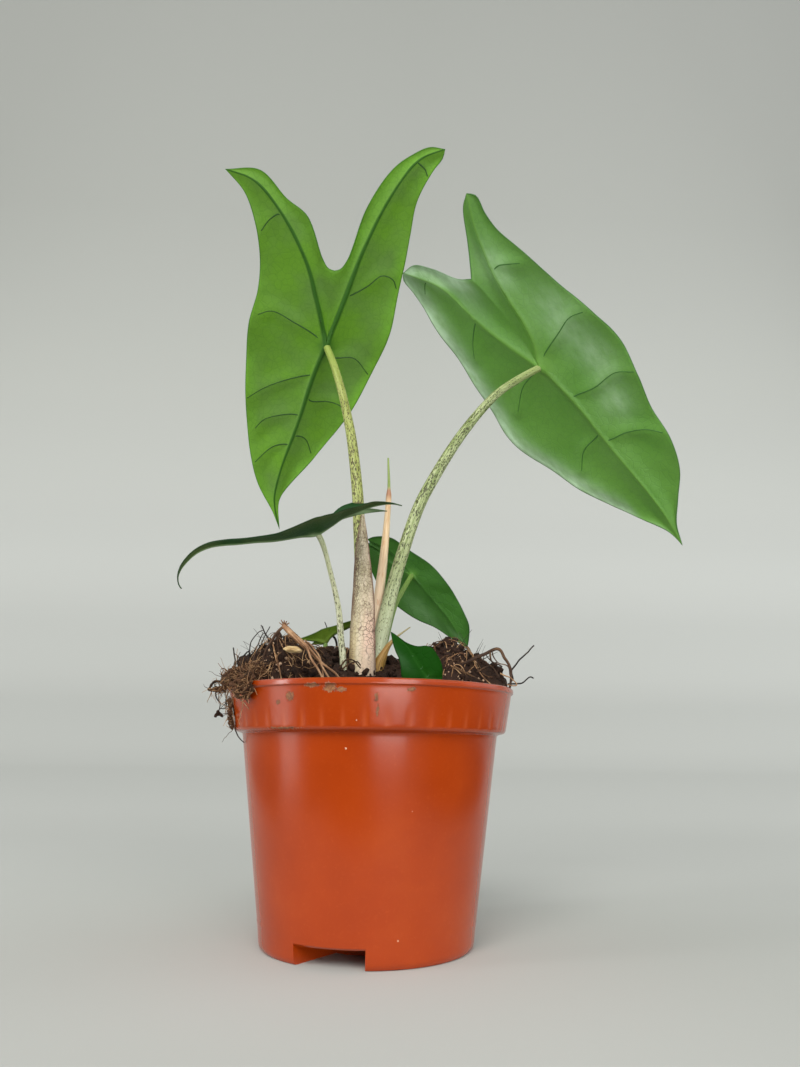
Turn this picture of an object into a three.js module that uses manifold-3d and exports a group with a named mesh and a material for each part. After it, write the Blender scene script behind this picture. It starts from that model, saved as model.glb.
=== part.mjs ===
// A young potted Alocasia longiloba in a nursery pot, at its real size.
// Millimetres, +Z up. The origin is on the pot's axis, at the ground it stands on; the front is -Y.
// The plant has two large arrow leaves on tall stalks and four small ones low down. Every leaf is
// shield-shaped: its stalk joins the underside of the blade, below the notch between the two lobes.

import * as THREE from 'three';
import { mergeVertices } from 'three/addons/utils/BufferGeometryUtils.js';
import Module from 'manifold-3d';

const wasm = await Module();
wasm.setup();

// Driving dimensions of the pot

const RIM_RADIUS = 45;
const RIM_HEIGHT = 74;
const LIP_HEIGHT = 1.8;
const BAND_HEIGHT = 13.5;
const BAND_FOOT_RADIUS = 42.3;
const BODY_TOP_RADIUS = 39.6;
const FOOT_RADIUS = 31.6;
const POT_WALL = 1.2;
const POT_SIDES = 48;

// The floor lies on the ground, apart from three drained pockets that open through the foot

const FLOOR = 1.5;
const POCKET_HEIGHT = 5;
const POCKET_INNER_RADIUS = 14;
const POCKET_HALF_ANGLE = 18.5;
const POCKET_CENTRES = [-19, 101, 221];
const DRAIN_RADIUS = 3;
const DRAIN_PLACE = 24;

// Clearances

const GAP = 0.3;
const SOIL_GAP = 0.7;
const CRUST_GAP = 0.35;

// Soil surface: low at the front, a ridge at the back, and a heap over the rim on either side

const SOIL_FRONT = 66.5;
const SOIL_RISE = 9.5;
const SOIL_RAMP = [-26, 30];
const SOIL_HEAPS = [
  { x: -31, y: 0, height: 12.5, spread: 9.5 },
  { x: 27.5, y: 2, height: 12.5, spread: 8.5 },
  { x: -3, y: 22, height: 11, spread: 13 },
  { x: 38, y: -5, height: 4, spread: 7 },
];
const SOIL_EDGE = 74;
const SOIL_EDGE_SLOPE = 0.9;
const SOIL_SIDE_EDGE = 6.5;
const SOIL_ROUGHNESS = 1.1;
const SOIL_SECTORS = 40;
const SOIL_RINGS = 9;
const SOIL_SEED = 11;
const SOIL_REACH = 41;
const CRUMB_COUNT = 32;
const CRUMB_SIZE = [1.6, 3.5];
const STRAND_COUNT = 17;
const STRAND_RADIUS = 0.5;
const STRAND_HALF = [4, 9];
const STRAND_LIFT = [1, 3.2];
const STRAND_SINK = 1.4;
const STRAND_HEAPS = [-30, 29];
const STRAND_SPREAD = [20, 24];
const STRAND_FORWARD = 6;

// Crown of the plant, where every stalk stands on the corm

const CORM_TOP = 61;
const CORM_RADIUS = 11.5;
const CORM_DEPTH = 19;
const CROWN = [-1.5, 3.5];
const STALK_FOOT = CORM_TOP + 0.4;

const BLADE = 0.8;

// Colours

const TERRACOTTA = 0xb84a1e;
const PEAT = 0x3a2417;
const LEAF_GREEN = 0x3f8232;
const LEAF_DARK = 0x1f5a24;
const STALK_GREEN = 0xb4bd86;
const PAPER_BROWN = 0xb09a80;
const SHOOT_PINK = 0xd8b090;
const SCALE_OLIVE = 0x9a7a2c;
const STRAW = 0xa87a45;
const BARK = 0xb99a6a;
const CORM_BROWN = 0x6a4a30;

// Random numbers, the same on every run

function seeded(seed) {
  let state = seed;
  return () => {
    state = (state + 0x6d2b79f5) | 0;
    let mix = Math.imul(state ^ (state >>> 15), 1 | state);
    mix = (mix + Math.imul(mix ^ (mix >>> 7), 61 | mix)) ^ mix;
    return ((mix ^ (mix >>> 14)) >>> 0) / 4294967296;
  };
}

// Solids

function vec(p) {
  return new THREE.Vector3(p[0], p[1], p[2]);
}

function radians(degrees) {
  return THREE.MathUtils.degToRad(degrees);
}

function bodyFrom(positions, triangles) {
  const geometry = new THREE.BufferGeometry();
  geometry.setAttribute('position', new THREE.Float32BufferAttribute(positions, 3));
  geometry.setIndex(triangles);
  return geometry;
}

function signedVolume(vertices, triangles) {
  const a = new THREE.Vector3();
  const b = new THREE.Vector3();
  const c = new THREE.Vector3();
  let sum = 0;
  for (let i = 0; i < triangles.length; i += 3) {
    a.fromArray(vertices, triangles[i] * 3);
    b.fromArray(vertices, triangles[i + 1] * 3);
    c.fromArray(vertices, triangles[i + 2] * 3);
    sum += a.dot(b.cross(c));
  }
  return sum;
}

// Vertices that share a place become one, slivers go, and the faces are turned outwards
function solid(geometry) {
  const bare = geometry.clone();
  bare.deleteAttribute('normal');
  bare.deleteAttribute('uv');
  const merged = mergeVertices(bare, 1e-4);
  const vertices = new Float32Array(merged.attributes.position.array);
  const kept = [];
  const index = merged.index.array;
  for (let i = 0; i < index.length; i += 3) {
    const [a, b, c] = [index[i], index[i + 1], index[i + 2]];
    if (a !== b && b !== c && c !== a) {
      kept.push(a, b, c);
    }
  }
  if (signedVolume(vertices, kept) < 0) {
    for (let i = 0; i < kept.length; i += 3) {
      [kept[i + 1], kept[i + 2]] = [kept[i + 2], kept[i + 1]];
    }
  }
  const mesh = new wasm.Mesh({ numProp: 3, vertProperties: vertices, triVerts: new Uint32Array(kept) });
  return new wasm.Manifold(mesh);
}

// The largest body of a solid: loose scraps and closed bubbles are dropped
function largest(shape) {
  const parts = shape.decompose();
  return parts.reduce((best, part) => (part.volume() > best.volume() ? part : best));
}

function piece(name, shape, color, roughness) {
  const mesh = shape.getMesh();
  const geometry = bodyFrom(Array.from(mesh.vertProperties), Array.from(mesh.triVerts));
  geometry.computeVertexNormals();
  const material = new THREE.MeshStandardMaterial({ color, roughness, metalness: 0 });
  const part = new THREE.Mesh(geometry, material);
  part.name = name;
  return part;
}

// A closed loft: each ring is a loop of points, and both ends are closed by fans
function loft(rings) {
  const count = rings[0].length;
  const positions = [];
  const triangles = [];
  for (const ring of rings) {
    for (const p of ring) {
      positions.push(p.x, p.y, p.z);
    }
  }
  for (let i = 0; i + 1 < rings.length; i += 1) {
    for (let j = 0; j < count; j += 1) {
      const k = (j + 1) % count;
      const [a, b] = [i * count + j, i * count + k];
      const [c, d] = [a + count, b + count];
      triangles.push(a, b, d, a, d, c);
    }
  }
  const last = rings.length - 1;
  for (const end of [0, last]) {
    const middle = new THREE.Vector3();
    rings[end].forEach((p) => middle.add(p));
    middle.divideScalar(count);
    const hub = positions.length / 3;
    positions.push(middle.x, middle.y, middle.z);
    for (let j = 0; j < count; j += 1) {
      const [a, b] = [end * count + j, end * count + ((j + 1) % count)];
      triangles.push(...(end === 0 ? [hub, b, a] : [hub, a, b]));
    }
  }
  return solid(bodyFrom(positions, triangles));
}

// From 0 to 1 with a soft start and end, flat outside that span
function smoothRise(x) {
  const t = THREE.MathUtils.clamp(x, 0, 1);
  return t * t * (3 - 2 * t);
}

// The value of a list of evenly spaced stops at a fraction of the way along it
function along(stops, fraction) {
  const place = fraction * (stops.length - 1);
  const i = Math.min(Math.floor(place), stops.length - 2);
  return THREE.MathUtils.lerp(stops[i], stops[i + 1], place - i);
}

function curveThrough(points) {
  return new THREE.CatmullRomCurve3(points.map(vec), false, 'centripetal');
}

// A tapered round stem along a path. A face { at, normal } cuts the far end parallel to a blade,
// and a level foot stands flat on what is under it
function stem({ path, radii, sides = 8, steps = 12, face = null, level = false }, grow = 0) {
  const curve = curveThrough(path);
  const frames = curve.computeFrenetFrames(steps, false);
  const rings = [];
  for (let i = 0; i <= steps; i += 1) {
    const tangent = frames.tangents[i];
    const centre = curve.getPointAt(i / steps);
    const overrun = (i === steps ? grow : 0) - (i === 0 ? 2 * grow : 0);
    centre.addScaledVector(tangent, overrun);
    const radius = along(radii, i / steps) + grow;
    const ring = [];
    for (let j = 0; j < sides; j += 1) {
      const angle = (2 * Math.PI * j) / sides;
      const p = centre.clone();
      p.addScaledVector(frames.normals[i], radius * Math.cos(angle));
      p.addScaledVector(frames.binormals[i], radius * Math.sin(angle));
      if (level && i === 0) {
        p.addScaledVector(tangent, (centre.z - p.z) / tangent.z);
      }
      if (face && i === steps) {
        const slide = face.at.clone().sub(p).dot(face.normal) / tangent.dot(face.normal);
        p.addScaledVector(tangent, slide);
      }
      ring.push(p);
    }
    rings.push(ring);
  }
  return loft(rings);
}

// A stack of level ovals, each { z, x, y, rx, ry }, for the scales that wrap a stalk's foot
function wrap(ovals, grow = 0, sides = 16) {
  const rings = ovals.map(({ z, x, y, rx, ry }, i) => {
    const overrun = (i === ovals.length - 1 ? grow : 0) - (i === 0 ? grow : 0);
    const ring = [];
    for (let j = 0; j < sides; j += 1) {
      const angle = (2 * Math.PI * j) / sides;
      ring.push(new THREE.Vector3(
        x + (rx + grow) * Math.cos(angle),
        y + (ry + grow) * Math.sin(angle),
        z + overrun,
      ));
    }
    return ring;
  });
  return loft(rings);
}

function turned(profile, sides) {
  const points = profile.map(([r, z]) => new THREE.Vector2(r, z));
  const geometry = new THREE.LatheGeometry(points, sides);
  geometry.rotateX(Math.PI / 2);
  return solid(geometry);
}

// Pot

const BAND_FOOT = RIM_HEIGHT - BAND_HEIGHT;

// The outer wall from the foot to the lip, moved outwards by grow
function potOutside(grow) {
  return [
    [FOOT_RADIUS - 0.8 + grow, 0 - grow],
    [FOOT_RADIUS + grow, 0.9],
    [BODY_TOP_RADIUS + grow, BAND_FOOT - 0.6 - grow],
    [BAND_FOOT_RADIUS - 0.4 + grow, BAND_FOOT - grow],
    [BAND_FOOT_RADIUS + grow, BAND_FOOT + 0.6],
    [RIM_RADIUS - 0.7 + grow, RIM_HEIGHT - LIP_HEIGHT - 0.3],
    [RIM_RADIUS + grow, RIM_HEIGHT - LIP_HEIGHT + 0.2],
    [RIM_RADIUS + grow, RIM_HEIGHT - 0.5],
    [RIM_RADIUS - 0.5, RIM_HEIGHT + grow],
  ];
}

// The inner wall from the lip down to the floor, moved inwards by grow
function potInside(grow) {
  return [
    [RIM_RADIUS - 1.6 - grow, RIM_HEIGHT + grow],
    [RIM_RADIUS - 2.1 - grow, RIM_HEIGHT - 0.7],
    [BAND_FOOT_RADIUS - POT_WALL + 0.1 - grow, BAND_FOOT + 0.9 + grow],
    [BODY_TOP_RADIUS - POT_WALL + 0.2 - grow, BAND_FOOT - 1 + grow],
    [BODY_TOP_RADIUS - POT_WALL - 0.1 - grow, BAND_FOOT - 2],
    [FOOT_RADIUS - POT_WALL + 0.2 - grow, FLOOR + grow],
  ];
}

// A block of the floor between two radii and two levels, about one pocket's centre line
function floorSector(centre, inner, outer, halfAngle, bottom, top) {
  const shape = new THREE.Shape();
  const [start, end] = [radians(centre - 90 - halfAngle), radians(centre - 90 + halfAngle)];
  shape.absarc(0, 0, outer, start, end, false);
  shape.absarc(0, 0, inner, end, start, true);
  shape.closePath();
  const geometry = new THREE.ExtrudeGeometry(shape, {
    depth: top - bottom,
    bevelEnabled: false,
    curveSegments: 5,
  });
  geometry.translate(0, 0, bottom);
  return solid(geometry);
}

// The raised floor over each pocket, as it stands up inside the pot
function floorSteps(grow) {
  const wall = POT_WALL + grow;
  return POCKET_CENTRES.map((centre) => floorSector(
    centre,
    POCKET_INNER_RADIUS - wall,
    FOOT_RADIUS + 3,
    POCKET_HALF_ANGLE + THREE.MathUtils.radToDeg(wall / DRAIN_PLACE),
    -1,
    POCKET_HEIGHT + wall,
  ));
}

function makePot() {
  const outside = [[0, 0], ...potOutside(0), [0, RIM_HEIGHT]];
  const inside = [[0, FLOOR], ...potInside(0).reverse(), [RIM_RADIUS - 1.6, RIM_HEIGHT + 5]];
  inside.push([0, RIM_HEIGHT + 5]);
  let hollow = turned(inside, POT_SIDES);
  for (const step of floorSteps(0)) {
    hollow = hollow.subtract(step);
  }
  let pot = turned(outside, POT_SIDES).subtract(hollow);
  for (const centre of POCKET_CENTRES) {
    const pocket = floorSector(
      centre, POCKET_INNER_RADIUS, RIM_RADIUS, POCKET_HALF_ANGLE, -1, POCKET_HEIGHT,
    );
    const hole = new THREE.CylinderGeometry(DRAIN_RADIUS, DRAIN_RADIUS, 3 * POCKET_HEIGHT, 16);
    hole.rotateX(Math.PI / 2);
    const angle = radians(centre - 90);
    hole.translate(DRAIN_PLACE * Math.cos(angle), DRAIN_PLACE * Math.sin(angle), 0);
    pot = pot.subtract(pocket).subtract(solid(hole));
  }
  return largest(pot);
}

// The pot's wall with a margin, to keep the soil that hangs over the rim off it
function potWall(grow) {
  const profile = [...potOutside(grow), ...potInside(grow)];
  profile.push(profile[0]);
  return turned(profile, POT_SIDES);
}

// Leaves

// A leaf's frame at the place where the stalk joins. azimuth and elevation turn the underside's
// normal away from the front and down, and turn leans the line to the notch to the right.
function leafFrame({ at, azimuth, elevation, turn }) {
  const [az, el, lean] = [radians(azimuth), radians(elevation), radians(turn)];
  const under = new THREE.Vector3(
    Math.sin(az) * Math.cos(el), -Math.cos(az) * Math.cos(el), -Math.sin(el),
  );
  const slope = new THREE.Vector3(0, 0, 1).addScaledVector(under, -under.z).normalize();
  const side = slope.clone().cross(under);
  const across = side.clone().multiplyScalar(Math.cos(lean)).addScaledVector(slope, -Math.sin(lean));
  const up = slope.clone().multiplyScalar(Math.cos(lean)).addScaledVector(side, Math.sin(lean));
  return { at: vec(at), under, across, up };
}

// Evenly spaced points on a smooth line through flat points
function sampled(points, count) {
  const curve = curveThrough(points.map(([u, v]) => [u, v, 0]));
  return curve.getSpacedPoints(count);
}

// How far the blade stands out to its underside, at flat place u, v and at a distance from a rib
function bladeHeight(leaf, v, distance) {
  const droop = v < 0 ? leaf.droop * v * v : leaf.lobeDroop * v * v;
  const fold = leaf.fold ? leaf.fold(v) : leaf.crease;
  return droop - fold * distance + leaf.roll * distance * distance;
}

// One half of a blade, as a net of flat points: rows run from a rib out to the margin.
// The outer net follows the lobe's rib down to the joint and then the midrib to the tip.
function bladeNets(leaf, side) {
  const { ribSteps, midSteps, outerSteps, innerSteps } = leaf;
  const rib = sampled(leaf.ribs[side], ribSteps);
  const mid = sampled(leaf.midrib, midSteps);
  const inner = sampled(leaf.inner[side], ribSteps);
  const spine = [...rib].reverse().concat(mid.slice(1));
  const marginCurve = curveThrough(leaf.outer[side].map(([u, v]) => [u, v, 0]));
  const rows = spine.length - 1;
  const nearRib = leaf.ribWidth;
  const nets = [];
  const outerNet = spine.map((from, i) => {
    const to = marginCurve.getPointAt((i / rows) ** leaf.lean);
    return crossLine(from, to, outerSteps, nearRib);
  });
  nets.push({ net: outerNet, rows, lobeRows: ribSteps, kind: 'outer' });
  const innerNet = rib.map((from, i) => crossLine(from, inner[i], innerSteps, nearRib));
  nets.push({ net: innerNet, rows: ribSteps, lobeRows: ribSteps, kind: 'inner' });
  return nets;
}

// Flat points from a rib to the margin, the first of them close to the rib, at its foot
function crossLine(from, to, steps, nearRib) {
  const length = from.distanceTo(to);
  const first = length > 0 ? Math.min(nearRib / length, 1 / steps) : 0;
  const line = [];
  for (let j = 0; j <= steps; j += 1) {
    const s = j === 0 ? 0 : first + ((1 - first) * (j - 1)) / (steps - 1);
    const p = from.clone().lerp(to, s);
    line.push({ u: p.x, v: p.y, s, distance: s * length });
  }
  return line;
}

// How much the blade swells between two side veins, and how proud the veins stand
function veinRelief(leaf, kind, i, lobeRows, s) {
  const step = kind === 'outer' && i >= lobeRows ? i - lobeRows : i;
  const beat = (step % leaf.veinEvery) / leaf.veinEvery;
  const swell = Math.sin(Math.PI * beat) ** 2;
  return -leaf.quilt * swell * 4 * s * (1 - s);
}

function ribHeight(leaf, kind, i, rows, lobeRows) {
  const fromJoint = kind === 'outer' && i >= lobeRows
    ? (i - lobeRows) / (rows - lobeRows)
    : Math.abs(lobeRows - i) / lobeRows;
  const away = kind === 'inner' ? i / rows : fromJoint;
  return THREE.MathUtils.lerp(leaf.ribHeight, 0.3, Math.min(away, 1));
}

// The closed blade: two faces with the same triangles, joined round the margin
function blade(leaf) {
  const { at, under, across, up } = leafFrame(leaf);
  const places = new Map();
  const flat = [];
  const heights = [];
  const ridges = [];
  const faces = [];
  const place = (p, height, ridge) => {
    const key = `${p.u.toFixed(3)},${p.v.toFixed(3)}`;
    if (!places.has(key)) {
      places.set(key, flat.length);
      flat.push(p);
      heights.push(height);
      ridges.push(ridge);
    }
    return places.get(key);
  };
  for (const side of [0, 1]) {
    for (const { net, rows, lobeRows, kind } of bladeNets(leaf, side)) {
      const grid = net.map((line, i) => line.map((p) => {
        const wave = leaf.wave * Math.sin(leaf.waves * (p.v + 31 * side)) * p.s ** 3;
        const edge = kind === 'outer' ? wave : 0;
        const relief = veinRelief(leaf, kind, i, lobeRows, p.s);
        const height = bladeHeight(leaf, p.v, p.distance) + relief + edge;
        const ridge = p.s === 0 ? ribHeight(leaf, kind, i, rows, lobeRows) : 0;
        return place(p, height, ridge);
      }));
      const flip = side === 1;
      for (let i = 0; i < rows; i += 1) {
        for (let j = 0; j + 1 < grid[i].length; j += 1) {
          const [a, b, c, d] = [grid[i][j], grid[i][j + 1], grid[i + 1][j + 1], grid[i + 1][j]];
          const pair = [[a, b, c], [a, c, d]];
          for (const face of pair) {
            if (new Set(face).size === 3) {
              faces.push(flip ? [face[0], face[2], face[1]] : face);
            }
          }
        }
      }
    }
  }
  return closeBlade({ at, under, across, up, bend: leaf.bend }, flat, heights, ridges, faces);
}

function closeBlade(frame, flat, heights, ridges, faces) {
  const count = flat.length;
  const positions = [];
  for (const offset of [-BLADE / 2, BLADE / 2]) {
    flat.forEach((p, i) => {
      const out = heights[i] + offset + (offset > 0 ? ridges[i] : 0);
      const [reach, lift] = frame.bend ? frame.bend(p.v) : [p.v, 0];
      const q = frame.at.clone();
      q.addScaledVector(frame.across, p.u);
      q.addScaledVector(frame.up, reach);
      q.addScaledVector(frame.under, out + lift);
      positions.push(q.x, q.y, q.z);
    });
  }
  const triangles = [];
  const edges = new Map();
  for (const [a, b, c] of faces) {
    triangles.push(a, b, c, count + a, count + c, count + b);
    for (const [p, q] of [[a, b], [b, c], [c, a]]) {
      if (edges.has(`${q},${p}`)) {
        edges.delete(`${q},${p}`);
      } else {
        edges.set(`${p},${q}`, [p, q]);
      }
    }
  }
  for (const [p, q] of edges.values()) {
    triangles.push(q, p, count + p, q, count + p, count + q);
  }
  return solid(bodyFrom(positions, triangles));
}

// Where a stalk ends under its blade: a plane clear of the ribs
function stalkEnd(leaf) {
  const { at, under } = leafFrame(leaf);
  const reach = BLADE / 2 + leaf.ribHeight + GAP;
  return { at: at.clone().addScaledVector(under, reach), normal: under };
}

const LARGE = {
  droop: 0.0015,
  lobeDroop: 0,
  crease: 0.1,
  roll: 0.0045,
  wave: 0.7,
  waves: 0.21,
  quilt: 0.5,
  ribHeight: 0.9,
  ribWidth: 1.6,
  ribSteps: 9,
  midSteps: 16,
  outerSteps: 5,
  innerSteps: 4,
  veinEvery: 4,
  lean: 0.9,
};

const SMALL = {
  ...LARGE,
  crease: 0.2,
  roll: 0.012,
  wave: 0.3,
  waves: 0.4,
  quilt: 0.3,
  ribHeight: 0.5,
  ribWidth: 0.9,
  ribSteps: 5,
  midSteps: 10,
  outerSteps: 4,
  innerSteps: 3,
  veinEvery: 3,
};

// Outlines are flat, in millimetres from the joint: u across, v towards the notch.
// Side 0 is the half on the -u side, side 1 the other.

const leafLeft = {
  ...LARGE,
  at: [-20.6, 28, 210],
  azimuth: 10,
  elevation: 45,
  turn: 0,
  midrib: [[0, 0], [-3.5, -12], [-8, -33], [-13.5, -54], [-15.2, -66], [-14.2, -72.5], [-11.9, -80]],
  ribs: [
    [[0, 0], [-6, 18], [-11, 31], [-22, 47.5], [-32, 56.5], [-42, 58.7]],
    [[0, 0], [4, 14], [10.4, 39], [18, 59], [26, 71.5], [34.5, 76.5]],
  ],
  inner: [
    [[0, 29], [-4, 32.5], [-12, 47], [-20, 52], [-30, 60], [-42, 58.7]],
    [[0, 29], [4, 34], [9.5, 53], [17, 67], [26, 75], [34.5, 76.5]],
  ],
  outer: [
    [[-42, 58.7], [-35, 52], [-30.5, 42], [-28, 30], [-28, 18], [-30.5, 6], [-30.6, -10],
      [-29.8, -26], [-26.5, -48], [-22, -62], [-15.6, -72.3], [-11.9, -80]],
    [[34.5, 76.5], [31.6, 68.6], [27.7, 58], [27, 45], [26, 26], [24.7, 8], [20.5, -8],
      [11, -31], [0, -48], [-9, -60], [-13, -68], [-11.9, -80]],
  ],
};

const leafRight = {
  ...LARGE,
  at: [65, 28, 203],
  azimuth: -30,
  elevation: 45,
  turn: -22,
  midrib: [[0, 0], [2.7, -20], [4.5, -45], [7.3, -70], [7.4, -81], [4.6, -90.5]],
  ribs: [
    [[0, 0], [-4, 10], [-9.8, 30], [-13, 48], [-22, 62.5]],
    [[0, 0], [4.4, 12], [7, 38], [12, 57.5], [17, 69]],
  ],
  inner: [
    [[0, 44], [-5, 47], [-11.5, 56], [-17, 62], [-22, 62.5]],
    [[0, 44], [6, 55], [12.5, 66], [17, 69]],
  ],
  outer: [
    [[-22, 62.5], [-23.3, 55], [-24, 46], [-27, 30], [-28, 15], [-28.7, 0], [-29, -14],
      [-26, -26], [-20.5, -39], [-14.6, -52], [-6.4, -66.5], [3, -78], [5.2, -83.5], [4.6, -90.5]],
    [[17, 69], [19.3, 66], [18, 59], [17.8, 52], [21.5, 38], [24.5, 22], [29, 7], [31.2, -7],
      [29.3, -23], [26, -38], [26, -51], [22.2, -64], [15.4, -74], [9.2, -82], [4.6, -90.5]],
  ],
};

// A long narrow leaf seen on edge: flat towards its hooked tip, folded up at the lobes
const NARROW_KEEL = curveThrough([
  [27, -5.6, 0], [14, -3.6, 0], [5, -0.8, 0], [0, 0, 0], [-12, 0.4, 0], [-28, -0.2, 0], [-36, 0.9, 0],
  [-41, 3.6, 0], [-43.8, 7.5, 0], [-43.5, 12, 0],
]);
const NARROW_LOBES = 27.6;
const NARROW_TIP = -51;

const leafNarrow = {
  ...SMALL,
  at: [-18.2, -13, 121.9],
  azimuth: 151.7,
  elevation: 72.3,
  turn: -50.4,
  droop: 0,
  roll: 0,
  wave: 0,
  quilt: 0.2,
  fold: (v) => 0.5 * smoothRise((v + 20) / 20) * (1 - 0.6 * smoothRise((v - 2) / 18)),
  bend: (v) => {
    const p = NARROW_KEEL.getPointAt((NARROW_LOBES - v) / (NARROW_LOBES - NARROW_TIP));
    return [p.x, p.y];
  },
  midrib: [[0, 0], [0, -17], [0, -34], [0, -51]],
  ribs: [
    [[0, 0], [-2.4, 9], [-5, 19], [-5.6, 26.5]],
    [[0, 0], [2.4, 9], [4.6, 17], [5.6, 23.5]],
  ],
  inner: [
    [[0, 13], [-1.6, 15.6], [-3.8, 22], [-5.6, 26.5]],
    [[0, 13], [1.6, 15], [3.6, 20], [5.6, 23.5]],
  ],
  outer: [
    [[-5.6, 26.5], [-7.2, 21], [-8.6, 12], [-9.5, 2], [-8.5, -12], [-6, -26], [-3.2, -38], [-1, -46],
      [0, -51]],
    [[5.6, 23.5], [7, 18], [8.2, 10], [8.8, 1], [8, -12], [5.8, -26], [3.2, -38], [1, -46], [0, -51]],
  ],
};

const leafBehind = {
  ...SMALL,
  at: [13.8, 22, 116.3],
  azimuth: -25,
  elevation: 30,
  turn: -38,
  lobeDroop: 0.004,
  midrib: [[0, 0], [-1, -10], [-2, -21], [-4, -28], [-4.8, -32.7]],
  ribs: [
    [[0, 0], [-2.4, 6], [-3.6, 12], [-4.4, 18.4]],
    [[0, 0], [1.2, 7], [1.2, 14], [-1, 20.5]],
  ],
  inner: [
    [[-1, 11], [-1.8, 13.5], [-2.8, 16], [-4.4, 18.4]],
    [[-1, 11], [-0.9, 14.5], [-1.1, 18], [-1, 20.5]],
  ],
  outer: [
    [[-4.4, 18.4], [-8, 15.8], [-11, 11], [-13.6, 2.5], [-13.8, -4.5], [-11.6, -13], [-9.2, -19],
      [-6.4, -27.5], [-4.8, -32.7]],
    [[-1, 20.5], [1.6, 18], [4.2, 14.6], [5.8, 6.5], [7.7, -3], [7, -12], [4.2, -20.4], [1.6, -27],
      [-2, -30.2], [-4.8, -32.7]],
  ],
};

const leafFront = {
  ...SMALL,
  at: [17.2, -22, 75.6],
  azimuth: 190,
  elevation: -10,
  turn: -136.5,
  crease: 0.15,
  ribSteps: 3,
  midSteps: 8,
  midrib: [[0, 0], [0.3, -6], [1.2, -12], [0.2, -18.1]],
  ribs: [
    [[0, 0], [-2, 2], [-4.5, 3.5]],
    [[0, 0], [2.5, 1.5], [5, 3]],
  ],
  inner: [
    [[0, 2.5], [-2.2, 3.6], [-4.5, 3.5]],
    [[0, 2.5], [2.2, 3.4], [5, 3]],
  ],
  outer: [
    [[-4.5, 3.5], [-6, 0.5], [-6.5, -3.5], [-6, -7.6], [-3.8, -9.5], [-1.9, -13], [-0.6, -16],
      [0.2, -18.1]],
    [[5, 3], [6.4, 0], [6.4, -4], [4.8, -7.4], [3.3, -10], [2.9, -13], [2, -15.4], [0.2, -18.1]],
  ],
};

const leafLow = {
  ...SMALL,
  at: [-16.1, 14, 90.6],
  azimuth: 29,
  elevation: 48,
  turn: -118,
  crease: 0.2,
  roll: 0,
  ribSteps: 3,
  midSteps: 6,
  outerSteps: 3,
  innerSteps: 2,
  midrib: [[0, 0], [2.6, -2.5], [4, -6], [5, -10], [6, -15]],
  ribs: [
    [[0, 0], [0.5, 2.2], [1.2, 4.4]],
    [[0, 0], [2.4, 3.6], [4.8, 8]],
  ],
  inner: [
    [[1.8, 2.8], [1.5, 3.6], [1.2, 4.4]],
    [[1.8, 2.8], [3, 5], [4.8, 8]],
  ],
  outer: [
    [[1.2, 4.4], [-0.6, 2.5], [-1.2, -0.5], [1, -3.4], [2.6, -7], [4, -11], [6, -15]],
    [[4.8, 8], [5.6, 4.5], [6.3, 0], [6.5, -5], [6.6, -10], [6, -15]],
  ],
};

// Stalks, from the corm to the joint under each blade

const stalkLeft = {
  level: true,
  path: [[-4, 1, STALK_FOOT], [-3.3, 0.5, 78], [-3.3, 0.5, 90], [-4, 1.2, 110], [-5.2, 1.8, 128],
    [-6, 2.5, 139.8], [-8.7, 8, 162], [-11.3, 13, 176], [-14, 18, 188], [-17.3, 23, 200],
    leafLeft.at],
  radii: [2.8, 3.2, 2.6, 2.1, 2, 1.9, 1.75, 1.6, 1.45, 1.35],
  sides: 10,
  steps: 16,
  face: stalkEnd(leafLeft),
};

const stalkRight = {
  level: true,
  path: [[2.2, 4.5, STALK_FOOT], [1.9, 5.4, 72], [2.2, 5.7, 80], [3.6, 4.6, 90], [6.4, 3.3, 107.5],
    [8.9, 3.2, 117], [14.9, 5.3, 136], [19.3, 7.4, 145.7], [31.2, 12.6, 167], [45.1, 19.4, 186.2],
    [54.4, 23.1, 194.7], leafRight.at],
  radii: [2.6, 2.6, 2.4, 2.15, 2.05, 2, 1.85, 1.65, 1.5, 1.4],
  sides: 10,
  steps: 18,
  face: stalkEnd(leafRight),
};

const stalkNarrow = {
  level: true,
  path: [[-8.5, -3.5, STALK_FOOT], [-8.4, -5.6, 76], [-8.2, -6.2, 84], [-9.9, -7.4, 92],
    [-12.8, -9.6, 104], [-15.7, -12, 116.6], leafNarrow.at],
  radii: [1.3, 1.25, 1.2, 1.1, 1, 0.95],
  steps: 12,
  face: stalkEnd(leafNarrow),
};

const stalkBehind = {
  level: true,
  path: [[3.5, 10.5, STALK_FOOT], [3, 11.5, 84.5], [4.7, 13, 91.5], [6.3, 15, 98.7], [8, 17, 104.7],
    [10, 18.6, 109], leafBehind.at],
  radii: [0.95, 0.95, 0.9, 0.85, 0.85],
  sides: 7,
  steps: 12,
  face: stalkEnd(leafBehind),
};

const stalkFront = {
  level: true,
  path: [[5, -2.5, STALK_FOOT], [8, -7, 66], [12.5, -13, 69.5], [16.4, -18.5, 73], leafFront.at],
  radii: [0.9, 0.9, 0.85],
  sides: 7,
  steps: 8,
  face: stalkEnd(leafFront),
};

const stalkLow = {
  level: true,
  path: [[-8, 7, STALK_FOOT], [-11.5, 10, 72], [-15, 12.5, 83], leafLow.at],
  radii: [0.9, 0.85, 0.8],
  sides: 7,
  steps: 8,
  face: stalkEnd(leafLow),
};

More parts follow.
